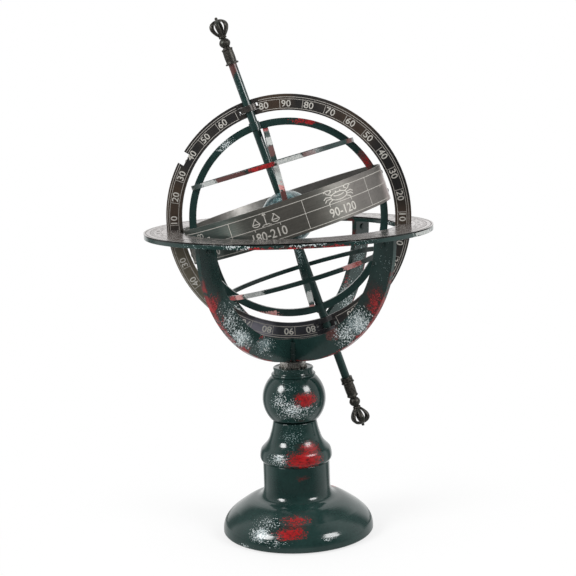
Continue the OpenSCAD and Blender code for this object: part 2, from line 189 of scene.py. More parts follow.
class Material(Nodes):
    """A material's node tree. `point` is the place on the object in mm."""

    def __init__(self, name):
        self.material = bpy.data.materials.new(name)
        self.material.use_nodes = True
        super().__init__(self.material.node_tree)
        self.out = self.new("OutputMaterial")
        self.point = self.vector("SCALE", self.new("TexCoord").outputs["Object"], scale=1000.0)

    @cached_property
    def normal(self):
        return self.new("NewGeometry").outputs["Normal"]

    def edge(self, radius):
        """A mask of the sharp edges, and the normal with those edges rounded; radius in mm."""
        node = self.new("Bevel", samples=6)
        node.inputs["Radius"].default_value = radius * MM
        rounded = node.outputs["Normal"]
        agreement = self.vector("DOT_PRODUCT", rounded, self.normal)
        return self.ramp(self.subtract(1.0, agreement), over=(0.012, 0.16)), rounded

    def bump(self, height, strength, depth, normal=None):
        """depth in mm."""
        node = self.new("Bump")
        self.fill(node, {"Strength": strength, "Distance": depth * MM,
                         "Height": height, "Normal": normal})
        return node.outputs["Normal"]

    def principled(self, colour, rough, metallic=0.0, normal=None, specular=0.5,
                   coat=0.0, coat_rough=0.1, sheen=0.0):
        node = self.new("BsdfPrincipled")
        self.fill(node, {
            "Base Color": colour, "Roughness": rough, "Metallic": metallic, "Normal": normal,
            "Specular IOR Level": specular, "Coat Weight": coat, "Coat Roughness": coat_rough,
            "Sheen Weight": sheen})
        return node.outputs[0]

    def show(self, shader):
        self.feed(self.out.inputs[0], shader)
        return self.material

    def finish(self, colour, rough, **surface):
        return self.show(self.principled(colour, rough, **surface))


# ------------------------------------------------------------------ enamel
GREENS = ((0.0085, 0.0285, 0.0255), (0.0165, 0.0440, 0.0395))
GREEN_SHADE = (0.006, 0.018, 0.017)
RIM_RED = (0.24, 0.022, 0.022)
WORN_GREY = (0.30, 0.32, 0.31)
WORN_RED = (0.34, 0.05, 0.05)
# the two ends of each under-colour
COAT_COLOURS = {
    "haze": ((0.10, 0.15, 0.155), (0.22, 0.29, 0.30)),
    "glow": ((0.085, 0.009, 0.009), (0.20, 0.012, 0.012)),
    "maroon": ((0.085, 0.030, 0.027), (0.14, 0.045, 0.04)),
    "pale": ((0.55, 0.56, 0.54), (0.30, 0.33, 0.32)),
    "white": ((0.80, 0.84, 0.84), (0.36, 0.44, 0.45)),
    "mist": ((0.30, 0.40, 0.40), (0.18, 0.26, 0.26)),
    "pink": ((0.56, 0.17, 0.17), (0.55, 0.33, 0.30)),
    "red": ((0.14, 0.005, 0.007), (0.40, 0.009, 0.011)),
}
# loose patches on the far side: kind, noise offset in mm, noise range, strength
FAR_PATCHES = (
    ("white", 31.0, (0.58, 0.76), 0.75),
    ("red", 77.0, (0.62, 0.76), 0.7),
    ("glow", 77.0, (0.56, 0.74), 0.8),
)


def mark_masks(net, marks, drift, back):
    """The strength of each under-colour, fading from the centres of its marks."""
    masks = {}

    def include(kind, strength):
        masks[kind] = net.maximum(masks[kind], strength) if kind in masks else strength

    wobble = net.noise(net.point, scale=0.16, detail=4, rough=0.62, output="Color")
    wobble = net.vector("SUBTRACT", wobble, (0.5, 0.5, 0.5))
    moved = net.vector("ADD", net.point, net.vector("SCALE", wobble, scale=drift * 2.0))
    for kind, centre, radii, density in marks:
        inside = net.maximum(net.near(moved, centre, radii), 0.0)
        include(kind, net.multiply(inside, density))
    if back:
        far = net.ramp(net.split(net.point)[1], over=(6.0, 26.0))
        for kind, offset, over, strength in FAR_PATCHES:
            shifted = net.vector("ADD", net.point, (offset, offset * 0.5, -offset))
            patch = net.ramp(net.noise(shifted, scale=0.036, detail=2), over=over)
            include(kind, net.multiply(net.multiply(patch, far), strength))
    return masks


def paint_coats(net, colour, masks, grain, stretch):
    """Brush the under-colours over `colour`. Returns the colour and the mask of firm paint."""
    stretched = net.vector("MULTIPLY", net.point, stretch)
    brush = net.noise(stretched, scale=0.40 * grain, detail=6, rough=0.70)
    fine = net.noise(stretched, scale=0.80 * grain, detail=2, rough=0.6)
    tint = net.ramp(net.noise(net.point, scale=0.9, detail=3, rough=0.6), over=(0.3, 0.7))

    def ragged(mask, amount):
        return net.add(mask, net.multiply(net.subtract(brush, 0.5), amount))

    def solid(mask, over, rag):
        """Paint with a torn edge."""
        return net.multiply(net.ramp(ragged(mask, rag), over=over),
                            net.ramp(mask, over=(0.0, 0.08)))

    def dotted(mask, texture, threshold, softness, fade):
        """Paint caught on the peaks of a texture. The threshold falls as the mask rises."""
        level = net.ramp(mask, over=(0.0, 1.0), to=threshold, smooth=False)
        peaks = net.ramp(net.subtract(texture, level), over=(0.0, softness))
        return net.multiply(peaks, net.ramp(mask, over=(0.0, fade)))

    def maroon(mask):
        return net.multiply(solid(mask, over=(0.1, 0.4), rag=1.2), 0.85)

    def pale(mask):
        return solid(mask, over=(0.16, 0.26), rag=1.35)

    def white(mask):
        return dotted(mask, fine, threshold=(0.68, 0.43), softness=0.02, fade=0.05)

    def mist(mask):
        return dotted(mask, fine, threshold=(0.72, 0.56), softness=0.02, fade=0.05)

    def pink(mask):
        return solid(mask, over=(0.20, 0.30), rag=1.5)

    def red(mask):
        texture = net.add(net.multiply(fine, 0.50), net.multiply(brush, 0.50))
        return dotted(mask, texture, threshold=(0.60, 0.26), softness=0.13, fade=0.12)

    # soft coats, without a hard edge
    for kind, strength in (("haze", 0.8), ("glow", 0.85)):
        if kind in masks:
            soft = net.ramp(ragged(masks[kind], 0.7), over=(0.04, 0.70), to=(0.0, strength))
            soft = net.multiply(soft, net.ramp(masks[kind], over=(0.0, 0.15)))
            colour = net.mix(soft, colour, net.mix(tint, *COAT_COLOURS[kind]))
    # firm coats, the lowest first
    cover = None
    for coat in (maroon, pale, white, mist, pink, red):
        kind = coat.__name__
        if kind in masks:
            shown = coat(masks[kind])
            blend = net.ramp(brush, over=(0.36, 0.60)) if kind == "red" else tint
            colour = net.mix(shown, colour, net.mix(blend, *COAT_COLOURS[kind]))
            cover = shown if cover is None else net.maximum(cover, shown)
    return colour, cover


def paint_rim(net, colour, centre, radius):
    """Red along the outer edge of the arms, fading upwards."""
    distance = net.vector("LENGTH", net.vector("SUBTRACT", net.point, centre))
    outer = net.ramp(distance, over=(radius - 1.3, radius - 0.2))
    low = net.ramp(net.split(net.point)[2], over=(224.0, 204.0))
    broken = net.noise(net.point, scale=0.09, detail=3, rough=0.6)
    broken = net.ramp(broken, over=(0.40, 0.58))
    strength = net.multiply(outer, net.multiply(low, broken))
    return net.mix(net.multiply(strength, 0.85), colour, RIM_RED)


def enamel(name, marks=(), rough=0.15, grain=1.5, drift=6.0, back=True,
           stretch=(1, 1, 1), worn=0.35, rim=None):
    """Dark green gloss enamel with dry-brushed under-colours and worn edges.

    marks: (kind, centre, radii, density), in mm; drift: how far their outlines wander;
    back: adds patches on the far side of a marked piece; grain, stretch: scale of the
    brushwork; worn: strength of the pale worn edges, which on the thin hoops and the rod
    also stand in for painted edge highlights; rim: (centre, radius) of a coloured rim.
    """
    net = Material(name)
    point = net.point
    big = net.noise(point, scale=0.035, detail=3, rough=0.55)
    colour = net.mix(net.ramp(big, over=(0.3, 0.7)), *GREENS)
    shade = net.noise(point, scale=0.5, detail=4, rough=0.6)
    colour = net.mix(net.ramp(shade, over=(0.35, 0.75), to=(0.0, 0.35)), colour, GREEN_SHADE)
    height = net.noise(point, scale=0.6, detail=2)
    cover = None
    if marks:
        masks = mark_masks(net, marks, drift, back)
        colour, cover = paint_coats(net, colour, masks, grain, stretch)
    if rim is not None:
        colour = paint_rim(net, colour, *rim)

    edge, rounded = net.edge(radius=0.55)
    chips = net.noise(point, scale=0.30, detail=4, rough=0.65)
    wear = net.multiply(edge, net.ramp(chips, over=(0.50, 0.70)))
    wear = net.multiply(wear, worn)
    patch = net.ramp(net.noise(point, scale=0.06), over=(0.45, 0.55))
    colour = net.mix(wear, colour, net.mix(patch, WORN_GREY, WORN_RED))

    smear = net.noise(point, scale=0.12, detail=3, rough=0.6)
    roughness = net.add(rough * 0.8, net.multiply(net.ramp(smear, over=(0.3, 0.7)), 0.05))
    if cover is not None:
        # the under-colours are duller and stand slightly proud
        roughness = net.add(roughness, net.multiply(cover, 0.10))
        height = net.add(net.multiply(height, 0.22), net.multiply(cover, 0.8))
    normal = net.bump(height, strength=0.30, depth=0.08, normal=rounded)
    return net.finish(colour, roughness, normal=normal, specular=0.72)


MAT = {}
# rows of marks: kind, centre, radii (mm), density
MAT["base"] = enamel("enamel_base", [
    ("white", (-25.5, -49.5, 12.8), (11, 14, 7.5), 1.02),
    ("white", (-20.0, -45.0, 19.4), (16, 12, 5.5), 0.55),
    ("white", (-13.0, -56.8, 8.6), (15, 10, 5.0), 0.55),
    ("white", (27.0, -52.0, 9.4), (8, 8, 2.4), 0.75),
    ("white", (-38.5, -46.0, 2.2), (9, 9, 2.6), 0.6),
    ("red", (2.0, -45.5, 21.8), (14, 9, 5.0), 0.80),
    ("red", (-2.0, -54.5, 13.8), (16, 11, 6.0), 1.15),
    ("glow", (6.0, -25.8, 48.6), (7, 8, 3.5), 0.55),
    ("glow", (1.0, -50.0, 18.0), (16, 11, 8.5), 0.40),
    ("haze", (-25.0, -49.5, 12.0), (9, 12, 6), 0.8),
    ("red", (28.4, 22.7, 27.3), (6, 6, 5), 0.8),
], drift=4.5, stretch=(0.62, 1.0, 1.5))
MAT["bell"] = enamel("enamel_bell", [
    ("mist", (-1.0, -18.6, 80.0), (13, 12, 13), 1.15),
    ("white", (-10.5, -25.4, 63.6), (14, 14, 6.5), 1.00),
    ("red", (12.5, -20.5, 70.6), (11, 13, 7.0), 0.75),
    ("red", (9.0, -26.3, 63.2), (20, 16, 9.2), 1.35),
    ("glow", (12.0, -20.5, 70.6), (13, 13, 9.0), 0.75),
], drift=4.0, stretch=(0.7, 1.0, 1.4))
MAT["ball"] = enamel("enamel_ball", [
    ("white", (0.5, -24.6, 103.0), (18, 14, 11), 1.00),
    ("white", (-9.5, -22.6, 108.5), (9, 12, 10), 0.85),
    ("white", (12.5, -21.5, 103.6), (10, 10, 9), 0.66),
    ("mist", (-2.0, -21.0, 119.5), (14, 12, 7), 0.95),
    ("red", (11.5, -21.9, 111.0), (11.5, 12, 8.0), 1.05),
    ("red", (5.5, -24.5, 107.4), (6, 9, 5.0), 0.45),
    ("glow", (9.5, -21.9, 110.5), (12, 12, 9.0), 0.65),
], drift=4.0)
MAT["neck"] = enamel("enamel_neck", [
    ("mist", (0, -14, 131), (16, 8, 3), 0.6),
], drift=3.0, worn=0.55)
MAT["cradle"] = enamel("enamel_cradle", [
    # left arm
    ("red", (-53.6, -74.5, 193.0), (9, 10, 13), 1.0),
    ("red", (-47.5, -65.0, 177.0), (6, 7, 10), 0.8),
    ("red", (-32.8, -47.5, 156.4), (8, 9, 4.5), 0.80),
    ("red", (-20.5, -31.5, 162.4), (5, 6, 2.8), 0.70),
    ("white", (-41.0, -60.0, 180.0), (16, 20, 20), 0.72),
    ("white", (-35.5, -51.5, 166.0), (13, 16, 14), 1.15),
    ("white", (-19.0, -29.0, 156.0), (13, 16, 12), 0.62),
    # right arm
    ("red", (68.0, -51.0, 190.0), (9, 10, 13), 0.85),
    ("red", (73.5, -54.5, 184.0), (5, 7, 13), 0.80),
    ("red", (57.0, -41.5, 161.8), (11, 9, 4.6), 0.80),
    ("red", (43.0, -31.5, 150.6), (11, 9, 3.6), 0.80),
    ("maroon", (32.5, -26.0, 164.5), (12, 11, 8), 0.8),
    # soft coats on both arms
    ("glow", (67.0, -50.0, 192.0), (13, 13, 19), 0.60),
    ("glow", (56.0, -41.5, 160.4), (15, 12, 6.0), 0.5),
    ("glow", (-53.0, -73.0, 192.0), (12, 14, 17), 0.55),
    ("glow", (-36.0, -52.0, 157.5), (16, 16, 8.0), 0.5),
    ("haze", (-34.0, -49.5, 164.5), (11, 13, 10), 0.9),
    ("haze", (-19.0, -29.0, 157.0), (12, 14, 8), 0.7),
    ("haze", (52.5, -41.0, 172.5), (14, 13, 12), 1.0),
    # right arm, white
    ("white", (54.0, -42.0, 174.5), (17, 16, 15), 1.12),
    ("white", (44.0, -34.0, 163.5), (16, 16, 13), 1.0),
    ("white", (63.0, -48.0, 180.0), (9, 9, 9), 0.62),
    ("mist", (74.0, -56.4, 218.0), (12, 12, 24), 0.62),
    # rear right arm
    ("mist", (53.5, 70.2, 210.0), (14, 18, 22), 1.3),
    ("white", (42.0, 54.0, 180.0), (14, 18, 17), 0.8),
    ("red", (41.5, 54.5, 192.0), (5, 6, 10), 0.55),
], drift=7.0, grain=1.15, worn=0.7, rough=0.2, rim=((0, 0, 239.8), 102.0))
MAT["horizon"] = enamel("enamel_horizon", [
    ("white", (-22.0, -110.4, 240.6), (17, 8, 4.0), 0.75),
    ("mist", (-60.0, -95.0, 241.0), (40, 20, 3.0), 0.9),
    ("red", (-8.0, -112.0, 239.5), (20, 10, 2.2), 0.95),
    ("red", (42.0, -104.3, 239.9), (18, 10, 2.2), 0.88),
    ("red", (16.0, -111.5, 239.5), (18, 8, 1.6), 0.75),
    ("glow", (16.0, -110.0, 240.4), (48, 14, 3.0), 0.45),
    ("white", (-28.0, -108.5, 242.4), (26, 10, 2.8), 0.95),
    ("white", (24.0, -109.5, 242.4), (30, 10, 2.8), 0.95),
    ("mist", (63.4, -92.9, 241.8), (20, 14, 3.0), 1.0),
    ("pale", (104.0, -42.0, 241.4), (12, 34, 4.0), 0.7),
    ("mist", (-104.0, -40.0, 241.4), (10, 24, 4.0), 0.9),
], drift=4.0, grain=1.1, worn=0.5, rough=0.2)

# painted edge highlights: worn=0.85 makes the pale worn edges of the hoops and tropics strong,
# partly wear and partly painted highlight
HOOP = dict(grain=1.6, rough=0.27, back=False, worn=0.85)    # shared by the thin rings
MAT["outer"] = enamel("enamel_outer_hoop", [
    ("red", (21.0, 3.4, 325.6), (22, 8, 3.2), 1.15),
    ("maroon", (61.6, 5.7, 293.9), (7, 7, 14), 1.1),
    ("red", (62.2, 5.7, 294.5), (5, 7, 11), 0.62),
    ("white", (-46.4, -3.6, 309.2), (10, 8, 9), 0.9),
    ("pink", (-19.5, -7.2, 176.0), (16, 8, 3.8), 0.75),
], drift=2.5, **HOOP)
MAT["inner"] = enamel("enamel_inner_hoop", [
    ("red", (-13.9, -13.0, 320.6), (6, 10, 6), 1.1),
    ("pale", (-9.3, -36.8, 312.4), (6, 9, 6), 1.2),
    ("maroon", (-6.8, -46.8, 305.6), (6, 8, 7), 1.2),
    ("pale", (-1.1, -61.2, 288.0), (7, 14, 14.5), 1.6),
    ("pink", (1.4, -66.3, 280.2), (6, 7, 4.5), 0.5),
    ("maroon", (3.2, -68.8, 272.6), (6, 8, 7.5), 1.5),
    ("mist", (13.0, -67.5, 229.2), (7, 12, 22), 1.3),
    ("pale", (17.5, -40.0, 194.6), (6, 12, 10), 1.0),
    ("pink", (17.5, -16.0, 183.0), (6, 13, 6), 1.1),
], drift=2.0, **HOOP)
MAT["up_tropic"] = enamel("enamel_upper_tropic", [
    ("pale", (-55.0, -46.8, 282.7), (11, 13, 7), 0.80),
    ("maroon", (-37.5, -58.5, 287.7), (17, 14, 9), 1.7),
    ("red", (-13.5, -64.6, 294.2), (15, 10, 8), 1.45),
    ("pale", (7.5, -61.6, 299.8), (14, 10, 8), 1.35),
    ("maroon", (21.5, -55.2, 303.1), (7, 9, 6), 1.0),
    ("maroon", (50.5, -17.0, 309.9), (7, 10, 6), 1.0),
    ("mist", (30.5, 46.0, 308.1), (26, 16, 8), 0.8),
], drift=3.0, **HOOP)
MAT["low_tropic"] = enamel("enamel_lower_tropic", [
    ("red", (-41.5, -36.5, 193.9), (8, 9, 6), 0.95),
    ("pink", (-35.0, -44.5, 195.9), (7, 8, 6), 0.8),
    ("pale", (-23.8, -55.8, 199.3), (14, 12, 7), 0.90),
    ("pink", (51.2, -52.2, 219.3), (13, 12, 7), 0.95),
    ("red", (54.0, -49.5, 219.9), (7, 8, 6), 0.75),
    ("mist", (24.0, 50.0, 214.0), (26, 16, 8), 0.8),
], drift=3.0, **HOOP)
# painted edge highlights: worn=0.7 gives the rod pale worn edges, partly wear and partly painted
# highlight
MAT["rod"] = enamel("enamel_rod", [
    ("maroon", (-39.5, 0, 369.0), (6, 8, 12), 1.1),
    ("mist", (-34.0, 0, 352.0), (8, 8, 14), 0.9),
    ("mist", (-12.0, 0, 290.0), (8, 8, 20), 0.8),
], drift=2.0, grain=1.7, rough=0.26, back=False, worn=0.7)
MAT["screw"] = enamel("enamel_screw", rough=0.3, worn=0.9)


# ------------------------------------------------------------------ engraved metal
def turned_grain(net, kind):
    """Fine lines that run round the ring; stretched coordinates give the noise its direction."""
    x, y, z = net.split(net.vector("SUBTRACT", net.point, SPHERE_CENTRE))
    depth = 0.0
    if kind == "meridian":
        across = net.multiply(net.hypotenuse(x, z), 3.2)
        around = net.multiply(net.math("ARCTAN2", x, z), 5.0)
        depth = y
    elif kind == "dial":
        across = net.multiply(net.hypotenuse(x, y), 3.5)
        around = net.multiply(net.math("ARCTAN2", x, y), 4.0)
    else:
        tilt = math.radians(BAND_TILT)
        offset = net.vector("SUBTRACT", net.point, SPHERE_CENTRE)
        height = net.vector("DOT_PRODUCT", offset, (-math.sin(tilt), 0, math.cos(tilt)))
        across = net.multiply(height, 3.0)
        around = net.multiply(net.math("ARCTAN2", x, y), 5.0)
    return net.noise(net.join(across, around, depth), scale=1.0, detail=3, rough=0.6)


def ring_metal(name, kind, dark, light, patches, rough, metallic, spots):
    """Satin darkened metal with a fine turned grain.

    kind: meridian, dial or band; patches: (centre, radii, colour, strength), in mm, some
    of them tone and some painted reflections, painted sheen and painted shade;
    spots: strength of the dark spotting.
    """
    net = Material(name)
    grain = turned_grain(net, kind)
    big = net.noise(net.point, scale=0.055, detail=4, rough=0.6)
    mid = net.noise(net.point, scale=0.35, detail=5, rough=0.65)
    colour = net.mix(net.ramp(big, over=(0.38, 0.68)), dark, light)
    for centre, radii, patch_colour, strength in patches:
        inside = net.add(net.near(net.point, centre, radii),
                         net.multiply(net.subtract(big, 0.5), 0.9))
        inside = net.ramp(inside, over=(0.0, 0.7), to=(0.0, strength))
        colour = net.mix(inside, colour, patch_colour)
    spot_colour = tuple(c * 0.55 for c in dark)
    spotting = net.ramp(mid, over=(0.40, 0.72), to=(0.0, 0.45 * spots))
    colour = net.mix(spotting, colour, spot_colour)
    grain_colour = tuple(min(1.0, c * 1.9) for c in light)
    colour = net.mix(net.ramp(grain, over=(0.35, 0.7), to=(0.0, 0.25)), colour, grain_colour)
    edge, rounded = net.edge(radius=0.4)
    if kind == "dial":
        # painted shade: the plate's side faces are darkened
        up = net.math("ABSOLUTE", net.split(net.normal)[2])
        painted_rim_shade = net.ramp(up, over=(0.3, 0.7), to=(1.0, 0.0))
        colour = net.mix(painted_rim_shade, colour, (0.030, 0.036, 0.036))
    bare = net.multiply(edge, net.ramp(mid, over=(0.35, 0.65), to=(0.15, 0.75)))
    colour = net.mix(bare, colour, (0.34, 0.31, 0.28))
    roughness = net.add(rough, net.multiply(net.subtract(mid, 0.5), 0.22))
    relief = net.add(grain, net.multiply(mid, 0.8))
    normal = net.bump(relief, strength=0.16, depth=0.05, normal=rounded)
    return net.finish(colour, roughness, metallic=metallic, normal=normal)


BROWN = (0.120, 0.078, 0.050)
OLIVE = (0.215, 0.192, 0.140)
BLUE = (0.052, 0.056, 0.070)
# rows of patches: centre, radii (mm), colour, strength
MAT["meridian"] = ring_metal(
    "engraved_meridian", "meridian",
    dark=(0.034, 0.034, 0.036), light=(0.062, 0.056, 0.051), patches=[
        ((-84, 0, 206), (52, 52, 52), OLIVE, 0.95),
        ((-92, 0, 268), (30, 30, 30), BROWN, 0.7),
        ((-8, 0, 346), (20, 20, 20), BROWN, 0.75),
        ((52, 0, 318), (26, 26, 26), BROWN, 0.6),
        ((90, 0, 250), (18, 18, 18), BROWN, 0.6),
        ((0, 0, 156), (60, 20, 26), BLUE, 0.95),
        # painted sheen: a light lilac-grey patch low on the left of the ring
        ((-30, 0, 160), (22, 20, 16), (0.36, 0.35, 0.42), 0.85),
        ((85, 0, 294), (30, 20, 46), (0.020, 0.020, 0.021), 0.8),
    ], rough=0.36, metallic=0.55, spots=0.4)
MAT["band"] = ring_metal(
    "engraved_band", "band",
    dark=(0.104, 0.106, 0.094), light=(0.152, 0.147, 0.130), patches=[
        ((-55, -58, 245), (50, 50, 50), (0.062, 0.096, 0.088), 0.95),
        ((70, -40, 278), (58, 58, 58), (0.225, 0.208, 0.195), 0.9),
        ((12, -78, 262), (30, 30, 30), (0.140, 0.130, 0.114), 0.6),
        # painted reflection: near-white at the right edge of the band
        ((80, -6, 272), (24, 24, 24), (0.80, 0.70, 0.68), 0.85),
        # painted reflections and painted shade on the inner face: lighter overall, a bright
        # painted sheen at the left, darker at the right
        ((0, 75, 262), (112, 112, 112), (0.24, 0.228, 0.218), 0.9),
        ((-32, 72, 262), (36, 36, 36), (0.62, 0.60, 0.57), 0.9),
        ((44, 66, 282), (44, 44, 44), (0.165, 0.158, 0.150), 0.9),
    ], rough=0.34, metallic=0.6, spots=0.55)
MAT["dial"] = ring_metal(
    "turned_dial", "dial",
    dark=(0.330, 0.300, 0.290), light=(0.440, 0.405, 0.392), patches=[
        # painted reflections on the top face: darker at the left, near-white at the right end,
        # dark at the front middle
        ((-88, 0, 244), (40, 40, 40), (0.24, 0.20, 0.185), 0.45),
        ((95, 0, 244), (36, 36, 36), (0.55, 0.51, 0.50), 0.6),
        ((0, -100, 244), (44, 44, 44), (0.20, 0.195, 0.205), 0.55),
    ], rough=0.22, metallic=0.9, spots=0.25)


# ------------------------------------------------------------------ other materials
def cast_bronze():
    net = Material("cast_bronze")
    mid = net.noise(net.point, scale=0.8, detail=5, rough=0.65)
    pits = net.new("TexVoronoi")
    net.fill(pits, {"Vector": net.point, "Scale": 1.1})
    colour = net.mix(net.ramp(mid, over=(0.35, 0.7)),
                     (0.030, 0.030, 0.027), (0.105, 0.098, 0.084))
    green = net.ramp(net.noise(net.point, scale=0.25), over=(0.55, 0.7), to=(0.0, 0.6))
    colour = net.mix(green, colour, (0.035, 0.050, 0.040))
    edge, rounded = net.edge(radius=0.35)
    colour = net.mix(net.multiply(edge, 0.55), colour, (0.26, 0.24, 0.205))
    relief = net.add(mid, net.multiply(pits.outputs["Distance"], 0.6))
    normal = net.bump(relief, strength=0.35, depth=0.18, normal=rounded)
    roughness = net.ramp(mid, over=(0.3, 0.7), to=(0.34, 0.52))
    return net.finish(colour, roughness, metallic=0.7, normal=normal)


def speckled_steel():
    net = Material("speckled_steel")
    speckle = net.noise(net.point, scale=1.7, detail=3, rough=0.65)
    colour = net.mix(net.ramp(speckle, over=(0.42, 0.55)),
                     (0.085, 0.082, 0.078), (0.78, 0.76, 0.71))
    brown = net.noise(net.point, scale=0.6, detail=3)
    brown = net.ramp(brown, over=(0.56, 0.66), to=(0.0, 0.7))
    colour = net.mix(brown, colour, (0.20, 0.13, 0.10))
    rounded = net.edge(radius=0.3)[1]
    normal = net.bump(speckle, strength=0.4, depth=0.15, normal=rounded)
    roughness = net.ramp(speckle, over=(0.4, 0.6), to=(0.5, 0.25))
    return net.finish(colour, roughness, metallic=0.9, normal=normal)


def globe_teal():
    """Glossy teal with dark outlines round its lighter areas."""
    net = Material("globe_teal")
    drift = net.noise(net.point, scale=0.10, detail=3, rough=0.6, output="Color")
    moved = net.vector("ADD", net.point, net.vector("SCALE", drift, scale=9.0))
    areas = net.noise(moved, scale=0.085, detail=5, rough=0.62)
    mottle = net.noise(moved, scale=0.30, detail=5, rough=0.68)
    colour = net.mix(net.ramp(areas, over=(0.42, 0.56)),
                     (0.060, 0.140, 0.150), (0.016, 0.044, 0.050))
    outline = net.math("ABSOLUTE", net.subtract(areas, 0.49))
    outline = net.ramp(outline, over=(0.004, 0.014), to=(0.85, 0.0))
    colour = net.mix(outline, colour, (0.006, 0.014, 0.015))
    colour = net.mix(net.ramp(mottle, over=(0.55, 0.66)), colour, (0.26, 0.35, 0.36))
    flecks = net.noise(moved, scale=0.9, detail=3, rough=0.6)
    flecks = net.ramp(flecks, over=(0.60, 0.72), to=(0.0, 0.8))
    colour = net.mix(flecks, colour, (0.50, 0.53, 0.52))
    normal = net.bump(net.add(areas, net.multiply(mottle, 0.5)), strength=0.12, depth=0.3)
    roughness = net.ramp(mottle, over=(0.3, 0.7), to=(0.12, 0.3))
    return net.finish(colour, roughness, normal=normal, coat=0.5, coat_rough=0.08)


def print_paint(name, colour, fade):
    """Paint of the printed lines; fade is how far it has worn dark in places."""
    net = Material(name)
    worn = net.noise(net.point, scale=0.9, detail=4, rough=0.65)
    worn_colour = tuple(c * 0.35 for c in colour)
    mixed = net.mix(net.ramp(worn, over=(0.44, 0.68), to=(0.0, fade)), colour, worn_colour)
    normal = net.bump(worn, strength=0.15, depth=0.03)
    roughness = net.ramp(worn, over=(0.3, 0.7), to=(0.42, 0.6))
    return net.finish(mixed, roughness, metallic=0.25, normal=normal)


def felt():
    net = Material("felt_pad")
    fibre = net.noise(net.point, scale=3.0, detail=5, rough=0.7)
    colour = net.mix(net.ramp(fibre, over=(0.3, 0.7)),
                     (0.012, 0.022, 0.016), (0.030, 0.048, 0.036))
    normal = net.bump(fibre, strength=0.8, depth=0.3)
    return net.finish(colour, rough=0.95, normal=normal, sheen=0.4)


def board():
    net = Material("pressed_board")
    stretched = net.vector("MULTIPLY", net.point, (1, 3, 1))
    fibre = net.noise(stretched, scale=0.5, detail=6, rough=0.7)
    colour = net.mix(net.ramp(fibre, over=(0.3, 0.7)), (0.14, 0.085, 0.05), (0.26, 0.17, 0.10))
    normal = net.bump(fibre, strength=0.4, depth=0.2)
    return net.finish(colour, rough=0.8, normal=normal)


MAT["bronze"] = cast_bronze()
MAT["steel"] = speckled_steel()
MAT["globe"] = globe_teal()
MAT["print"] = print_paint("pale_print", (0.62, 0.60, 0.55), fade=0.35)
MAT["print_dim"] = print_paint("pale_print_fine", (0.50, 0.475, 0.435), fade=0.45)
MAT["print_dark"] = print_paint("dark_print", (0.185, 0.170, 0.160), fade=0.3)
MAT["felt"] = felt()
MAT["board"] = board()

# CAD piece: material
USE = {
    "base_shell": "base", "base_board": "board", "felt_pad": "felt",
    "bell_shell": "bell", "ball_shell": "ball", "neck_cap": "neck",
    "tie_rod": "screw", "lower_tie_nut": "steel", "lower_tie_washer": "steel",
    "serrated_washer": "steel", "clamp_nut": "steel",
    "cradle_crescent_front": "cradle", "cradle_crescent_rear": "cradle",
    "horizon_ring": "horizon", "horizon_dial": "dial",
    "lug_screws": "screw", "lug_nuts": "screw",
    "meridian_ring": "meridian", "polar_rod": "rod",
    "outer_colure_hoop": "outer", "inner_colure_hoop": "inner", "pole_grub_screws": "steel",
    "upper_tropic_ring": "up_tropic", "lower_tropic_ring": "low_tropic",
    "zodiac_band": "band", "band_rivets": "bronze", "central_globe": "globe",
    "upper_finial_socket": "bronze", "upper_finial_cage": "bronze",
    "lower_finial_socket": "bronze", "lower_finial_cage": "bronze",
    "lower_lock_collar": "bronze",
}
for node_name, material_key in USE.items():
    node_mesh = NODES[node_name].data
    node_mesh.materials.clear()
    node_mesh.materials.append(MAT[material_key])


# ------------------------------------------------------------------ mesh helpers
# `mesh` is a bmesh. `place(x, y, h)` turns a drawing point and a height off the
# surface into a point of the object, in mm.
def piece(name, mesh, material, body, smooth_angle=None):
    """Make an object of a bmesh with its material and attach it to its body's empty."""
    data = bpy.data.meshes.new(name)
    bmesh.ops.recalc_face_normals(mesh, faces=mesh.faces)
    mesh.to_mesh(data)
    mesh.free()
    data.materials.append(MAT[material])
    made = bpy.data.objects.new(name, data)
    SCENE.collection.objects.link(made)
    if smooth_angle is not None:
        for polygon in data.polygons:
            polygon.use_smooth = True
        data.set_sharp_from_angle(angle=math.radians(smooth_angle))
    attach(made, body)
    return made


def new_vert(mesh, point):
    return mesh.verts.new(Vector(point) * MM)


def add_prism(mesh, outline, foot, top, place):
    """A closed prism over an outline of 2-D points."""
    count = len(outline)
    lower = [new_vert(mesh, place(x, y, foot)) for x, y in outline]
    upper = [new_vert(mesh, place(x, y, top)) for x, y in outline]
    mesh.faces.new(lower[::-1])
    mesh.faces.new(upper)
    for i in range(count):
        j = (i + 1) % count
        mesh.faces.new((lower[i], lower[j], upper[j], upper[i]))


def stroke(mesh, points, width, place, top=PRINT_TOP):
    """A printed polyline, drawn as short overlapping bars."""
    overlap = width * 0.30
    for (x0, y0), (x1, y1) in zip(points, points[1:]):
        length = math.hypot(x1 - x0, y1 - y0)
        if length < 1e-6:
            continue
        along_x, along_y = (x1 - x0) / length, (y1 - y0) / length
        ax, ay = x0 - along_x * overlap, y0 - along_y * overlap
        bx, by = x1 + along_x * overlap, y1 + along_y * overlap
        side_x, side_y = -along_y * width / 2, along_x * width / 2
        outline = [(ax + side_x, ay + side_y), (ax - side_x, ay - side_y),
                   (bx - side_x, by - side_y), (bx + side_x, by + side_y)]
        add_prism(mesh, outline, PRINT_FOOT, top, place)


def arc(x, y, half_width, half_height, start, end, steps=12):
    """Points on an elliptical arc, angles in degrees."""
    points = []
    for i in range(steps + 1):
        angle = math.radians(start + (end - start) * i / steps)
        points.append((x + half_width * math.cos(angle), y + half_height * math.sin(angle)))
    return points


def circle_segment(point_at, radius, width, start, end):
    """Outline of a short length of a circular line; point_at(radius, angle) is a 2-D point."""
    inner, outer = radius - width / 2, radius + width / 2
    return [point_at(inner, start), point_at(inner, end),
            point_at(outer, end), point_at(outer, start)]


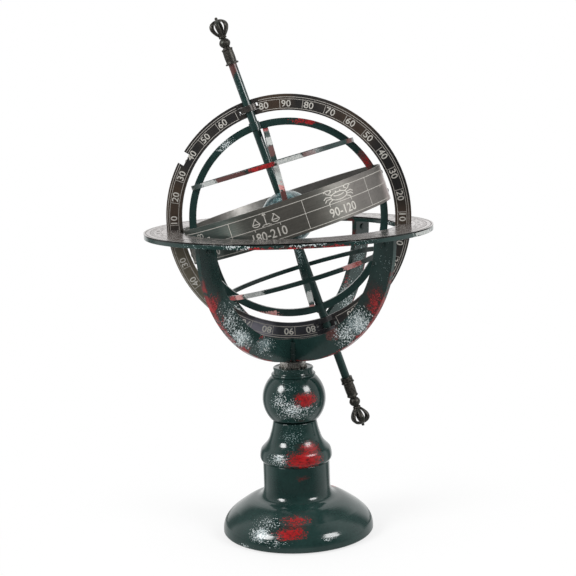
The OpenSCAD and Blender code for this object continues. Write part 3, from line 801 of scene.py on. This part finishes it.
@lru_cache(maxsize=None)
def text_mesh(body):
    """A string one unit tall, centred: vertices (x, y, is on top) and faces."""
    curve = bpy.data.curves.new("text", "FONT")
    curve.body = body
    curve.size = 1.0
    curve.extrude = 0.5
    curve.offset = 0.010       # thickens the letters
    curve.resolution_u = 3
    holder = bpy.data.objects.new("text", curve)
    SCENE.collection.objects.link(holder)
    depsgraph = bpy.context.evaluated_depsgraph_get()
    data = bpy.data.meshes.new_from_object(holder.evaluated_get(depsgraph))
    corners = [v.co.copy() for v in data.vertices]
    faces = [tuple(p.vertices) for p in data.polygons]
    bpy.data.objects.remove(holder)
    bpy.data.curves.remove(curve)
    bpy.data.meshes.remove(data)
    xs = [v.x for v in corners]
    ys = [v.y for v in corners]
    mid_x, mid_y = (min(xs) + max(xs)) / 2, (min(ys) + max(ys)) / 2
    height = max(ys) - min(ys)
    return [((v.x - mid_x) / height, (v.y - mid_y) / height, v.z > 0) for v in corners], faces


def text_width(body):
    return max(x for x, y, on_top in text_mesh(body)[0]) * 2


def add_text(mesh, body, height, place, top=PRINT_TOP, stretch=1.0):
    corners, faces = text_mesh(body)
    verts = []
    for x, y, on_top in corners:
        point = place(x * height * stretch, y * height, top if on_top else PRINT_FOOT)
        verts.append(new_vert(mesh, point))
    for face in faces:
        # a letter's outline may give the same face twice, which bmesh refuses
        try:
            mesh.faces.new([verts[i] for i in face])
        except ValueError:
            pass


def lathe(mesh, profile, segments, matrix):
    """Turn a closed loop of (radius, z) about the Z axis of `matrix`."""
    rings = []
    for radius, z in profile:
        if radius < 1e-6:
            rings.append([new_vert(mesh, matrix @ Vector((0, 0, z)))])
            continue
        ring = []
        for i in range(segments):
            angle = 2 * math.pi * i / segments
            point = Vector((radius * math.cos(angle), radius * math.sin(angle), z))
            ring.append(new_vert(mesh, matrix @ point))
        rings.append(ring)
    for a, b in zip(rings, rings[1:] + rings[:1]):
        if len(a) == 1 and len(b) == 1:
            continue
        for i in range(segments):
            j = (i + 1) % segments
            if len(a) == 1:
                mesh.faces.new((a[0], b[j], b[i]))
            elif len(b) == 1:
                mesh.faces.new((a[i], a[j], b[0]))
            else:
                mesh.faces.new((a[i], a[j], b[j], b[i]))


def sweep(mesh, stations, matrix):
    """Skin a row of sections. stations: (centre, u axis, v axis, [(u, v), ...])."""
    rings = []
    for centre, u_axis, v_axis, section in stations:
        rings.append([new_vert(mesh, matrix @ (centre + u_axis * u + v_axis * v))
                      for u, v in section])
    count = len(rings[0])
    for a, b in zip(rings, rings[1:]):
        for i in range(count):
            j = (i + 1) % count
            mesh.faces.new((a[i], a[j], b[j], b[i]))
    mesh.faces.new(rings[0][::-1])
    mesh.faces.new(rings[-1])


# ------------------------------------------------------------------ meridian graduations
PRINT_X, PRINT_Z = -0.35, CENTRE_Z - 0.9    # centre of the print
OUTER_CIRCLE, MIDDLE_CIRCLE, INNER_CIRCLE = 94.35, 92.75, 85.7
MERIDIAN_LINE = 0.42
CIRCLE_STEPS, CIRCLE_STEP = 480, 0.75       # count and degrees
TICK_COUNT, FIRST_TICK, TICK_PITCH = 32, -91.85, 11.25
NUMBER_HEIGHT, NUMBER_STRETCH = 5.2, 1.08
NUMBER_RADIUS, NUMBER_FOOT_RADIUS = 89.35, 86
NUMBER_GAP = 1.1                            # from a tick to its number
MERIDIAN_NUMBERS = [10, 20, 30, 40, 50, 60, 70, 80, 90, 80, 70, 60, 50, 40, 30, 20]
NOTCH_ANGLE = -58.9                         # index notch in the outer edge


def cut_away(x, z):
    """True in the polar loops' windows and in the index notch."""
    polar = POLAR.inverted() @ Vector((x, 0, z))
    if abs(polar.x) < 8.7 and abs(polar.z) > 60:
        return True
    angle = math.radians(NOTCH_ANGLE)
    across = x * math.cos(angle) - (z - CENTRE_Z) * math.sin(angle)
    outward = x * math.sin(angle) + (z - CENTRE_Z) * math.cos(angle)
    return abs(across) < 5.2 and outward > 90.6


def meridian_point(radius, angle):
    """x and z at an angle from the top of the print, positive towards +X."""
    return PRINT_X + radius * math.sin(angle), PRINT_Z + radius * math.cos(angle)


def meridian_circle(mesh, radius, width, place):
    """A printed circle, broken where the ring is cut away."""
    previous = None
    for i in range(CIRCLE_STEPS + 1):
        angle = math.radians(i * CIRCLE_STEP)
        if cut_away(*meridian_point(radius, angle)):
            previous = None
            continue
        if previous is not None:
            outline = circle_segment(meridian_point, radius, width, previous, angle)
            add_prism(mesh, outline, PRINT_FOOT, PRINT_TOP, place)
        previous = angle


def meridian_tick(mesh, degrees, place):
    angle = math.radians(degrees)
    x0, z0 = meridian_point(INNER_CIRCLE, angle)
    x1, z1 = meridian_point(MIDDLE_CIRCLE, angle)
    if not (cut_away(x0, z0) or cut_away(x1, z1) or cut_away((x0 + x1) / 2, (z0 + z1) / 2)):
        stroke(mesh, [(x0, z0), (x1, z1)], MERIDIAN_LINE, place)


def meridian_number(mesh, label, degrees, side):
    """A number just clockwise of its tick, as seen from its own side."""
    width = text_width(label) * NUMBER_HEIGHT * NUMBER_STRETCH
    shift = math.degrees((width / 2 + NUMBER_GAP) / NUMBER_RADIUS)
    angle = math.radians(degrees - side * shift)
    centre_x, centre_z = meridian_point(NUMBER_RADIUS, angle)
    if cut_away(centre_x, centre_z) or cut_away(*meridian_point(NUMBER_FOOT_RADIUS, angle)):
        return
    sine, cosine = math.sin(angle), math.cos(angle)

    def place(x, y, h):
        return (centre_x - side * x * cosine + y * sine, side * (RING_HALF + h),
                centre_z + side * x * sine + y * cosine)
    add_text(mesh, label, NUMBER_HEIGHT, place, stretch=NUMBER_STRETCH)


def meridian_print(side, tag):
    """side: -1 for the front face, 1 for the back, where the row runs the other way."""
    lines, ticks, numbers = bmesh.new(), bmesh.new(), bmesh.new()

    def place(x, z, h):
        return (x, side * (RING_HALF + h), z)

    for radius, width in ((OUTER_CIRCLE, MERIDIAN_LINE), (MIDDLE_CIRCLE, MERIDIAN_LINE * 0.9),
                          (INNER_CIRCLE, MERIDIAN_LINE)):
        meridian_circle(lines, radius, width, place)
    for i in range(TICK_COUNT):
        degrees = -side * (FIRST_TICK + TICK_PITCH * i)
        meridian_tick(ticks, degrees, place)
        label = str(MERIDIAN_NUMBERS[i % len(MERIDIAN_NUMBERS)])
        meridian_number(numbers, label, degrees, side)
    for part, mesh, paint in (("lines", lines, "print_dim"), ("ticks", ticks, "print_dim"),
                              ("numbers", numbers, "print")):
        piece(f"meridian_{part}_{tag}", mesh, paint, "meridian")


meridian_print(-1, "front")
meridian_print(1, "back")

# ------------------------------------------------------------------ zodiac band graduations
BAND_RADIUS, BAND_RISE = 80.5, 3.1
BAND_TOP, BAND_UPPER, BAND_LOWER, BAND_FOOT = 9.9, -0.1, -1.3, -11.6    # rows on the band
SEAM = 4.0                          # angle of the seam, degrees
FIRST_EDGE, CELL = -39.0, 41.6      # first cell's left edge, and a cell's length, degrees
BAND_LINE, CELL_LINE, DEGREE_LINE, PICTURE_LINE = 0.40, 0.42, 0.45, 0.62
LINE_START, LINE_END, LINE_STEP = 4.6, 363.4, 1.5    # ends and step of the long lines, degrees
BAND_NUMBER_HEIGHT, BAND_NUMBER_STRETCH = 6.6, 0.92


def band_place(degrees):
    """Drawing on the band: x along it in mm from an angle, y across it."""
    def place(x, y, h):
        angle = math.radians(degrees) + x / BAND_RADIUS
        radius = BAND_RADIUS + h
        return BAND_FRAME @ Vector((radius * math.cos(angle), radius * math.sin(angle),
                                    BAND_RISE + y))
    return place


def band_line(mesh, y):
    """A line round the band from one side of the seam to the other."""
    count = int((LINE_END - LINE_START) / LINE_STEP)
    place = band_place(0)
    low, high = y - BAND_LINE / 2, y + BAND_LINE / 2
    ends = [math.radians(LINE_START + i * (LINE_END - LINE_START) / count) * BAND_RADIUS
            for i in range(count + 1)]
    for x0, x1 in zip(ends, ends[1:]):
        outline = [(x0, low), (x1, low), (x1, high), (x0, high)]
        add_prism(mesh, outline, PRINT_FOOT, HIGH_PRINT, place)


# line pictures of the signs, drawn in a box about 20 wide and 11 tall
def picture_balance():
    lines = [[(0, -4.2), (0, 4.2)], [(-7.5, 2.6), (0, 4.2), (7.5, 2.6)],
             [(-3.4, -4.4), (3.4, -4.4)], [(-2.2, -3.6), (2.2, -3.6)]]
    for s in (-1, 1):
        lines += [[(s * 7.5, 2.6), (s * 10.2, -1.6)], [(s * 7.5, 2.6), (s * 4.8, -1.6)],
                  [(s * 4.6, -1.6), (s * 10.4, -1.6)], arc(s * 7.5, -1.6, 2.8, 2.0, 180, 360, 8)]
    return lines + [arc(0, 4.9, 0.8, 0.8, 0, 360, 8)]


def picture_crab():
    lines = [arc(0, -0.6, 5.6, 3.2, 0, 360, 20), arc(0, 0.8, 3.6, 1.2, 200, 340, 8)]
    for s, start, end in ((-1, 180, -70), (1, 0, 250)):
        lines += [[(s * 4.6, 1.4), (s * 7.4, 3.0), (s * 8.2, 4.6)],
                  arc(s * 6.8, 4.6, 2.2, 1.4, start, end, 9),
                  [(s * 5.4, 0.0), (s * 8.6, 0.8), (s * 10.0, -0.6)],
                  [(s * 5.4, -1.2), (s * 8.4, -1.4), (s * 9.6, -3.0)],
                  [(s * 4.6, -2.4), (s * 6.8, -3.6), (s * 7.6, -5.0)],
                  [(s * 1.4, 2.4), (s * 1.6, 3.6)]]
    return lines


def picture_ram():
    return [[(0, -4.6), (0, 1.6)], arc(-3.0, 1.6, 3.0, 3.0, 0, 215),
            arc(3.0, 1.6, 3.0, 3.0, 180, -35), [(-1.6, -2.6), (0, -4.6), (1.6, -2.6)]]


def picture_scorpion():
    return [[(-7, 3.4), (-7, -3.4)], arc(-5.2, 2.4, 1.8, 1.4, 180, 0, 8),
            [(-3.4, 2.4), (-3.4, -3.4)], arc(-1.6, 2.4, 1.8, 1.4, 180, 0, 8),
            [(0.2, 2.4), (0.2, -2.2)], arc(2.4, -2.2, 2.2, 2.0, 180, 300, 8),
            [(3.5, -4.0), (7.0, -0.4)], [(5.0, -0.4), (7.2, -0.2), (7.0, -2.4)]]


def picture_archer():
    return [[(-5, -4.4), (5, 4.4)], [(1.2, 4.6), (5.2, 4.6), (5.2, 0.8)],
            [(-4.0, 0.4), (-0.2, -3.4)], arc(-1.0, -1.0, 6.2, 6.2, 10, 80, 10)]


def picture_goat():
    return [[(-6, 3.4), (-4.0, -2.8), (-2.0, 3.0)],
            [(-2.0, 3.0), (-0.6, 3.4), (0.4, 1.6), (0.4, -2.0)],
            arc(2.8, -1.4, 2.4, 2.2, 180, -150, 14), [(0.4, -2.0), (-0.8, -4.8), (-2.4, -4.6)]]


def picture_water():
    wave = [(-7 + 2.0 * k, 1.2 if k % 2 else -0.8) for k in range(8)]
    return [[(x, y + 2.0) for x, y in wave], [(x, y - 2.0) for x, y in wave]]


def picture_fish():
    return [arc(-7.0, 0, 4.6, 4.6, -70, 70), arc(7.0, 0, 4.6, 4.6, 110, 250),
            [(-5.4, 0), (5.4, 0)]]


# cells after the blank one at the seam: picture, ecliptic degrees, picture scale (x, y)
SIGNS = [
    (picture_crab, "90-120", (1.30, 0.90)),
    (picture_balance, "180-210", (1.0, 0.92)),
    (picture_scorpion, "210-240", (1.05, 0.90)),
    (picture_archer, "240-270", (1.05, 0.90)),
    (picture_goat, "270-300", (1.05, 0.90)),
    (picture_water, "300-330", (1.05, 0.90)),
    (picture_fish, "330-360", (1.05, 0.90)),
    (picture_ram, "0-30", (1.3, 0.95)),
]


def band_sign(pictures, numbers, degrees, sign):
    """A picture in the upper row and its number in the lower one."""
    picture, label, (scale_x, scale_y) = sign
    place = band_place(degrees)

    def picture_place(x, y, h):
        return place(x * scale_x, y * scale_y + (BAND_TOP + BAND_UPPER) / 2 - 0.1, h)

    def number_place(x, y, h):
        return place(x, y + (BAND_LOWER + BAND_FOOT) / 2 + 0.1, h)

    for line in picture():
        stroke(pictures, line, PICTURE_LINE, picture_place)
    add_text(numbers, label, BAND_NUMBER_HEIGHT, number_place, top=HIGH_PRINT,
             stretch=BAND_NUMBER_STRETCH)


def band_print():
    lines, ticks, pictures, numbers = (bmesh.new() for _ in range(4))
    for y in (BAND_TOP, BAND_UPPER, BAND_FOOT):
        band_line(lines, y)
    last = len(SIGNS)
    edges = [SEAM] + [FIRST_EDGE - CELL * k for k in range(last)] + [SEAM - 360.0]
    for k, (right, left) in enumerate(zip(edges, edges[1:])):
        place = band_place(left)
        if k < last:
            stroke(ticks, [(0, BAND_TOP), (0, BAND_FOOT)], CELL_LINE, place)
        # two short marks hang from the upper middle line
        width = math.radians(right - left) * BAND_RADIUS
        for j in (1, 2):
            x = width * j / 3.0
            stroke(ticks, [(x, BAND_UPPER), (x, BAND_LOWER - 0.5)], DEGREE_LINE, place)
        if k > 0:
            middle = (left + right) / 2
            if k == last:
                middle -= 1
            band_sign(pictures, numbers, middle, SIGNS[k - 1])
    for part, mesh in (("lines", lines), ("ticks", ticks), ("pictures", pictures),
                       ("numbers", numbers)):
        piece("band_" + part, mesh, "print", "sphere")


band_print()

# ------------------------------------------------------------------ horizon dial graduations
DIAL_CIRCLES = ((111.0, 0.7), (107.6, 0.35), (99.2, 0.35), (91.0, 0.35), (86.4, 0.5))
(_, _), (SCALE_OUTER, _), (SCALE_INNER, _), (_, _), (DIAL_INNER, _) = DIAL_CIRCLES
SHORT_TICK = 104.6         # inner end of the short ticks
DIAL_SEGMENTS = 360


def dial_place(x, y, h):
    return (x, y, DIAL_TOP + h)


def dial_point(radius, angle):
    return radius * math.cos(angle), radius * math.sin(angle)


def in_dial_slot(x, y):
    return abs(y) < 1.6 and abs(x) < 97.2


def dial_circle(mesh, radius, width):
    for i in range(DIAL_SEGMENTS):
        start = 2 * math.pi * i / DIAL_SEGMENTS
        end = 2 * math.pi * (i + 1) / DIAL_SEGMENTS
        outline = circle_segment(dial_point, radius, width, start, end)
        if not any(in_dial_slot(x, y) for x, y in outline):
            add_prism(mesh, outline, PRINT_FOOT, DIAL_PRINT, dial_place)


def dial_spoke(mesh, degrees, inner, outer, width):
    angle = math.radians(degrees)
    ends = [dial_point(inner, angle), dial_point(outer, angle)]
    stroke(mesh, ends, width, dial_place, top=DIAL_PRINT)


def dial_numbers(mesh, labels, first, radius, height):
    """Numbers clockwise from `first` degrees, leaving out those on the slots."""
    for i, label in enumerate(labels):
        angle = math.radians(first - 360 // len(labels) * i)
        sine, cosine = math.sin(angle), math.cos(angle)
        if abs(sine) < 0.02:
            continue

        def place(x, y, h):
            r = radius + y
            return (r * cosine + x * sine, r * sine - x * cosine, DIAL_TOP + h)
        add_text(mesh, label, height, place, top=DIAL_PRINT)


def dial_print():
    lines, numbers = bmesh.new(), bmesh.new()
    for radius, width in DIAL_CIRCLES:
        dial_circle(lines, radius, width)
    for i in range(180):
        if i % 5:
            dial_spoke(lines, 2 * i, SHORT_TICK, SCALE_OUTER, width=0.26)
        else:
            dial_spoke(lines, 2 * i, SCALE_INNER, SCALE_OUTER, width=0.36)
    for i in range(12):
        dial_spoke(lines, 30 * i + 15, DIAL_INNER, SCALE_INNER, width=0.4)
    degrees = [str(10 * i) for i in range(36)]
    dial_numbers(numbers, degrees, first=85, radius=101.7, height=2.6)
    hours = [str(i + 1) for i in range(12)]
    dial_numbers(numbers, hours, first=90, radius=94.9, height=4.2)
    piece("dial_lines", lines, "print_dark", "stand")
    piece("dial_numbers", numbers, "print_dark", "stand")


dial_print()

# ------------------------------------------------------------------ finials
# profiles: (radius, z)
STEM_FOOT = [(0, 0.0), (2.7, 0.0), (3.1, 0.5), (2.9, 1.0)]
STEM_TOP = [(2.5, 8.3), (3.1, 8.8), (3.2, 9.3), (2.5, 9.8), (2.1, 10.6), (1.7, 11.4), (0, 11.6)]
NIB = [(0, 21.6), (2.3, 21.8), (2.5, 22.5), (1.6, 23.0), (1.0, 23.4), (1.25, 24.2),
       (0.9, 25.0), (0, 25.3)]
RIB_CONTROL = [(1.2, 9.4), (2.4, 10.6), (4.3, 12.6), (5.9, 14.9), (6.75, 17.2), (6.5, 19.2),
               (5.3, 20.8), (3.4, 21.8), (1.4, 22.3), (0.3, 22.4)]
RIBS, RIB_SIDES, RIB_HALF = 6, 10, 0.95
SLEEVE_BORE = 3.29
SLEEVE_END = 11.42         # the cast part starts at this height on the sleeve
SLEEVE = [(SLEEVE_BORE, -1.1), (4.9, -1.1), (5.2, -0.8), (5.2, -0.1), (4.85, 0.2), (4.3, 0.3),
          (4.1, 0.8), (4.12, 2.0), (4.22, 3.2), (4.25, 5.0), (4.2, 7.0), (4.1, 8.6),
          (4.06, 9.6), (4.15, 10.1), (4.42, 10.4), (4.45, 11.0), (4.15, 11.4),
          (0, SLEEVE_END), (0, 10.2), (SLEEVE_BORE, 10.2)]


def smooth_curve(control, steps=3):
    """A Catmull-Rom curve through 2-D control points."""
    points = []
    for k in range(len(control) - 1):
        p0, p1 = control[max(k - 1, 0)], control[k]
        p2, p3 = control[k + 1], control[min(k + 2, len(control) - 1)]
        for step in range(steps):
            t = step / steps
            points.append(tuple(
                0.5 * (2 * b + (c - a) * t + (2 * a - 5 * b + 4 * c - d) * t * t
                       + (3 * b - a - 3 * c + d) * t ** 3)
                for a, b, c, d in zip(p0, p1, p2, p3)))
    return points + [control[-1]]


def rib_stations():
    """Flattened sections along one rib, widest about its middle."""
    points = smooth_curve(RIB_CONTROL)
    last = len(points) - 1
    turns = [2 * math.pi * s / RIB_SIDES for s in range(RIB_SIDES)]
    stations = []
    for i, (radius, z) in enumerate(points):
        before, after = points[max(i - 1, 0)], points[min(i + 1, last)]
        along = Vector((after[0] - before[0], 0, after[1] - before[1])).normalized()
        part = i / last
        if part < 0.90:
            half_width = RIB_HALF + 0.95 * math.sin(math.pi * (part * 1.08))
        else:
            half_width = RIB_HALF + 0.5 * (1 - part)
        section = [(half_width * math.cos(q), RIB_HALF * math.sin(q)) for q in turns]
        stations.append((Vector((radius, 0, z)), Vector((0, 1, 0)),
                         Vector((along.z, 0, -along.x)), section))
    return stations


def finial(matrix, tag, first_rib):
    """Cast finial: knot, basket of curved ribs and nib. first_rib in degrees."""
    mesh = bmesh.new()
    knot = []
    for i in range(13):
        angle = math.radians(-66 + i * 11.2)
        swell = 1.03 if i in (5, 6, 7) else 1.0
        knot.append((4.25 * math.cos(angle) * swell, 4.5 + 4.0 * math.sin(angle)))
    lathe(mesh, STEM_FOOT + knot + STEM_TOP, 40, matrix)
    stations = rib_stations()
    for k in range(RIBS):
        turn = Matrix.Rotation(2 * math.pi * k / RIBS + math.radians(first_rib), 4, "Z")
        sweep(mesh, stations, matrix @ turn)
    lathe(mesh, NIB, 24, matrix)
    return piece("finial_cast_" + tag, mesh, "bronze", "sphere", smooth_angle=50)


def sleeve(matrix, tag):
    """Ringed sleeve with a thin flange, open at the rod's end."""
    mesh = bmesh.new()
    lathe(mesh, SLEEVE, 48, matrix)
    return piece("finial_sleeve_" + tag, mesh, "bronze", "sphere",
                 smooth_angle=40)


# end of the rod, its frame, distance of the sleeve from the centre, angle of the first rib
for tag, axis, start, first_rib in (("upper", POLAR, 127.0, 27),
                                    ("lower", POLAR @ rot_y(180), 139.4, 14)):
    made = sleeve(axis @ Matrix.Translation((0, 0, start)), tag)
    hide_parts(tag + "_finial_socket")
    made = finial(axis @ Matrix.Translation((0, 0, start + SLEEVE_END)), tag, first_rib)
    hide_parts(tag + "_finial_cage")


# ------------------------------------------------------------------ lug screw crosses
def lug_screw_crosses():
    """Thin crossed bars on the heads of the four lug screws."""
    half_length, half_width = 1.5, 0.24
    foot, top = 3.10, 3.19
    bar = [(-half_length, -half_width), (half_length, -half_width),
           (half_length, half_width), (-half_length, half_width)]
    mesh = bmesh.new()
    # angle round the stem, and which way the head points
    for lug_angle, facing in ((-36, 90), (54, 90), (144, -90), (234, -90)):
        head = rot_z(lug_angle) @ Matrix.Translation((92.4, 0, 234.8)) @ rot_x(facing)
        for bar_angle in (35, 125):
            matrix = head @ rot_z(bar_angle)
            add_prism(mesh, bar, foot, top, lambda x, y, h: matrix @ Vector((x, y, h)))
    piece("lug_screw_recesses", mesh, "screw", "stand")


lug_screw_crosses()

# ------------------------------------------------------------------ floor, light, camera
# brightness of the surroundings in a mirror: y of the direction (-1 front, 1 rear), value
MIRROR_STOPS = ((-1.0, 0.06), (-0.55, 0.08), (-0.10, 0.42), (0.45, 0.70),
                (0.58, 0.16), (0.74, 0.16), (0.86, 1.0), (1.0, 1.0))


def mirror_brightness(net, direction):
    """Dark front, grey sides, a dark screen at each side behind, then a white wall."""
    flat = net.vector("NORMALIZE", net.vector("MULTIPLY", direction, (1, 1, 0)))
    position = net.math("MULTIPLY_ADD", net.split(flat)[1], 0.5, 0.5)
    ramp = net.new("ValToRGB")
    elements = ramp.color_ramp.elements
    while len(elements) < len(MIRROR_STOPS):
        elements.new(0.5)
    for element, (y, value) in zip(elements, MIRROR_STOPS):
        element.position = (y + 1) / 2
        element.color = (value, value, value, 1)
    net.feed(ramp.inputs[0], position)
    return ramp.outputs[0]


def floor_material():
    """Pale near the object and pure white further away."""
    net = Material("pale_floor")
    x, y, _ = net.split(net.point)
    distance = net.hypotenuse(x, y)
    cloud = net.noise(net.point, scale=0.004, detail=3)
    colour = net.mix(net.ramp(cloud, over=(0.3, 0.7)), (0.84, 0.84, 0.84), (0.86, 0.86, 0.86))
    base = net.principled(colour, rough=0.7, specular=0.1)
    whiteness = net.ramp(distance, over=(60.0, 240.0), to=(0.72, 1.0))
    lit = net.mix_shader(whiteness, base, net.source("Emission"))
    # reflections see the studio's dim surroundings in place of the white floor
    dim = net.source("Emission", colour=mirror_brightness(net, net.point))
    glossy = net.new("LightPath").outputs["Is Glossy Ray"]
    dimming = net.multiply(glossy, net.ramp(distance, over=(60.0, 160.0), to=(0.6, 1.0)))
    return net.show(net.mix_shader(dimming, lit, dim))


def make_floor():
    half, z = 9.0, -0.0006     # metres
    data = bpy.data.meshes.new("floor")
    corners = [(-half, -half, z), (half, -half, z), (half, half, z), (-half, half, z)]
    data.from_pydata(corners, [], [(0, 1, 2, 3)])
    floor = bpy.data.objects.new("floor", data)
    SCENE.collection.objects.link(floor)
    data.materials.append(floor_material())


def make_world():
    """White to the camera, with separate surroundings for diffuse and mirror light."""
    world = bpy.data.worlds.new("studio")
    SCENE.world = world
    world.use_nodes = True
    net = Nodes(world.node_tree)
    out = net.new("OutputWorld")
    path = net.new("LightPath")
    direction = net.new("TexCoord").outputs["Generated"]
    # diffuse light is dimmer from behind the camera
    diffuse = net.ramp(net.split(direction)[1], over=(-0.80, 0.15), to=(0.09, 1.0))
    pick = net.new("Mix", data_type="FLOAT")
    net.fill(pick, {0: path.outputs["Is Glossy Ray"], 2: diffuse,
                    3: mirror_brightness(net, direction)})
    surroundings = net.source("Background", strength=pick.outputs[0])
    backdrop = net.source("Background")
    shader = net.mix_shader(path.outputs["Is Camera Ray"], surroundings, backdrop)
    net.feed(out.inputs[0], shader)


def make_light(name, location, power, size=0.52, target=(0, 0, 0.18)):
    """A round area light aimed at the target; metres and watts."""
    light = bpy.data.lights.new(name, "AREA")
    light.shape = "DISK"
    light.size = size
    light.energy = power
    holder = bpy.data.objects.new(name, light)
    holder.location = location
    aim = Vector(target) - Vector(location)
    holder.rotation_euler = aim.to_track_quat("-Z", "Y").to_euler()
    SCENE.collection.objects.link(holder)


def make_camera():
    place = Vector((78.497, -991.005, 348.16)) * MM
    pan, tilt, roll = (math.radians(angle) for angle in (-4.82, -7.31, -2.0))
    forward = Vector((math.sin(pan) * math.cos(tilt), math.cos(pan) * math.cos(tilt),
                      math.sin(tilt)))
    level_right = Vector((math.cos(pan), -math.sin(pan), 0))
    level_up = level_right.cross(forward)
    right = math.cos(roll) * level_right + math.sin(roll) * level_up
    up = -math.sin(roll) * level_right + math.cos(roll) * level_up
    camera = bpy.data.cameras.new("camera")
    camera.sensor_width = 36.0
    camera.lens = 79.939375
    camera.shift_x = 0.008925347222
    camera.shift_y = -0.05480208333
    camera.clip_start, camera.clip_end = 0.05, 60.0
    holder = bpy.data.objects.new("camera", camera)
    matrix = Matrix((right, up, -forward)).transposed().to_4x4()
    matrix.translation = place
    holder.matrix_world = matrix
    SCENE.collection.objects.link(holder)
    SCENE.camera = holder


make_floor()
make_world()
make_light("soft_left", location=(-0.87, -0.60, 0.86), power=9.5)
make_light("soft_right", location=(0.96, -0.515, 0.82), power=7.5)
make_camera()
SCENE.view_settings.view_transform = "Standard"
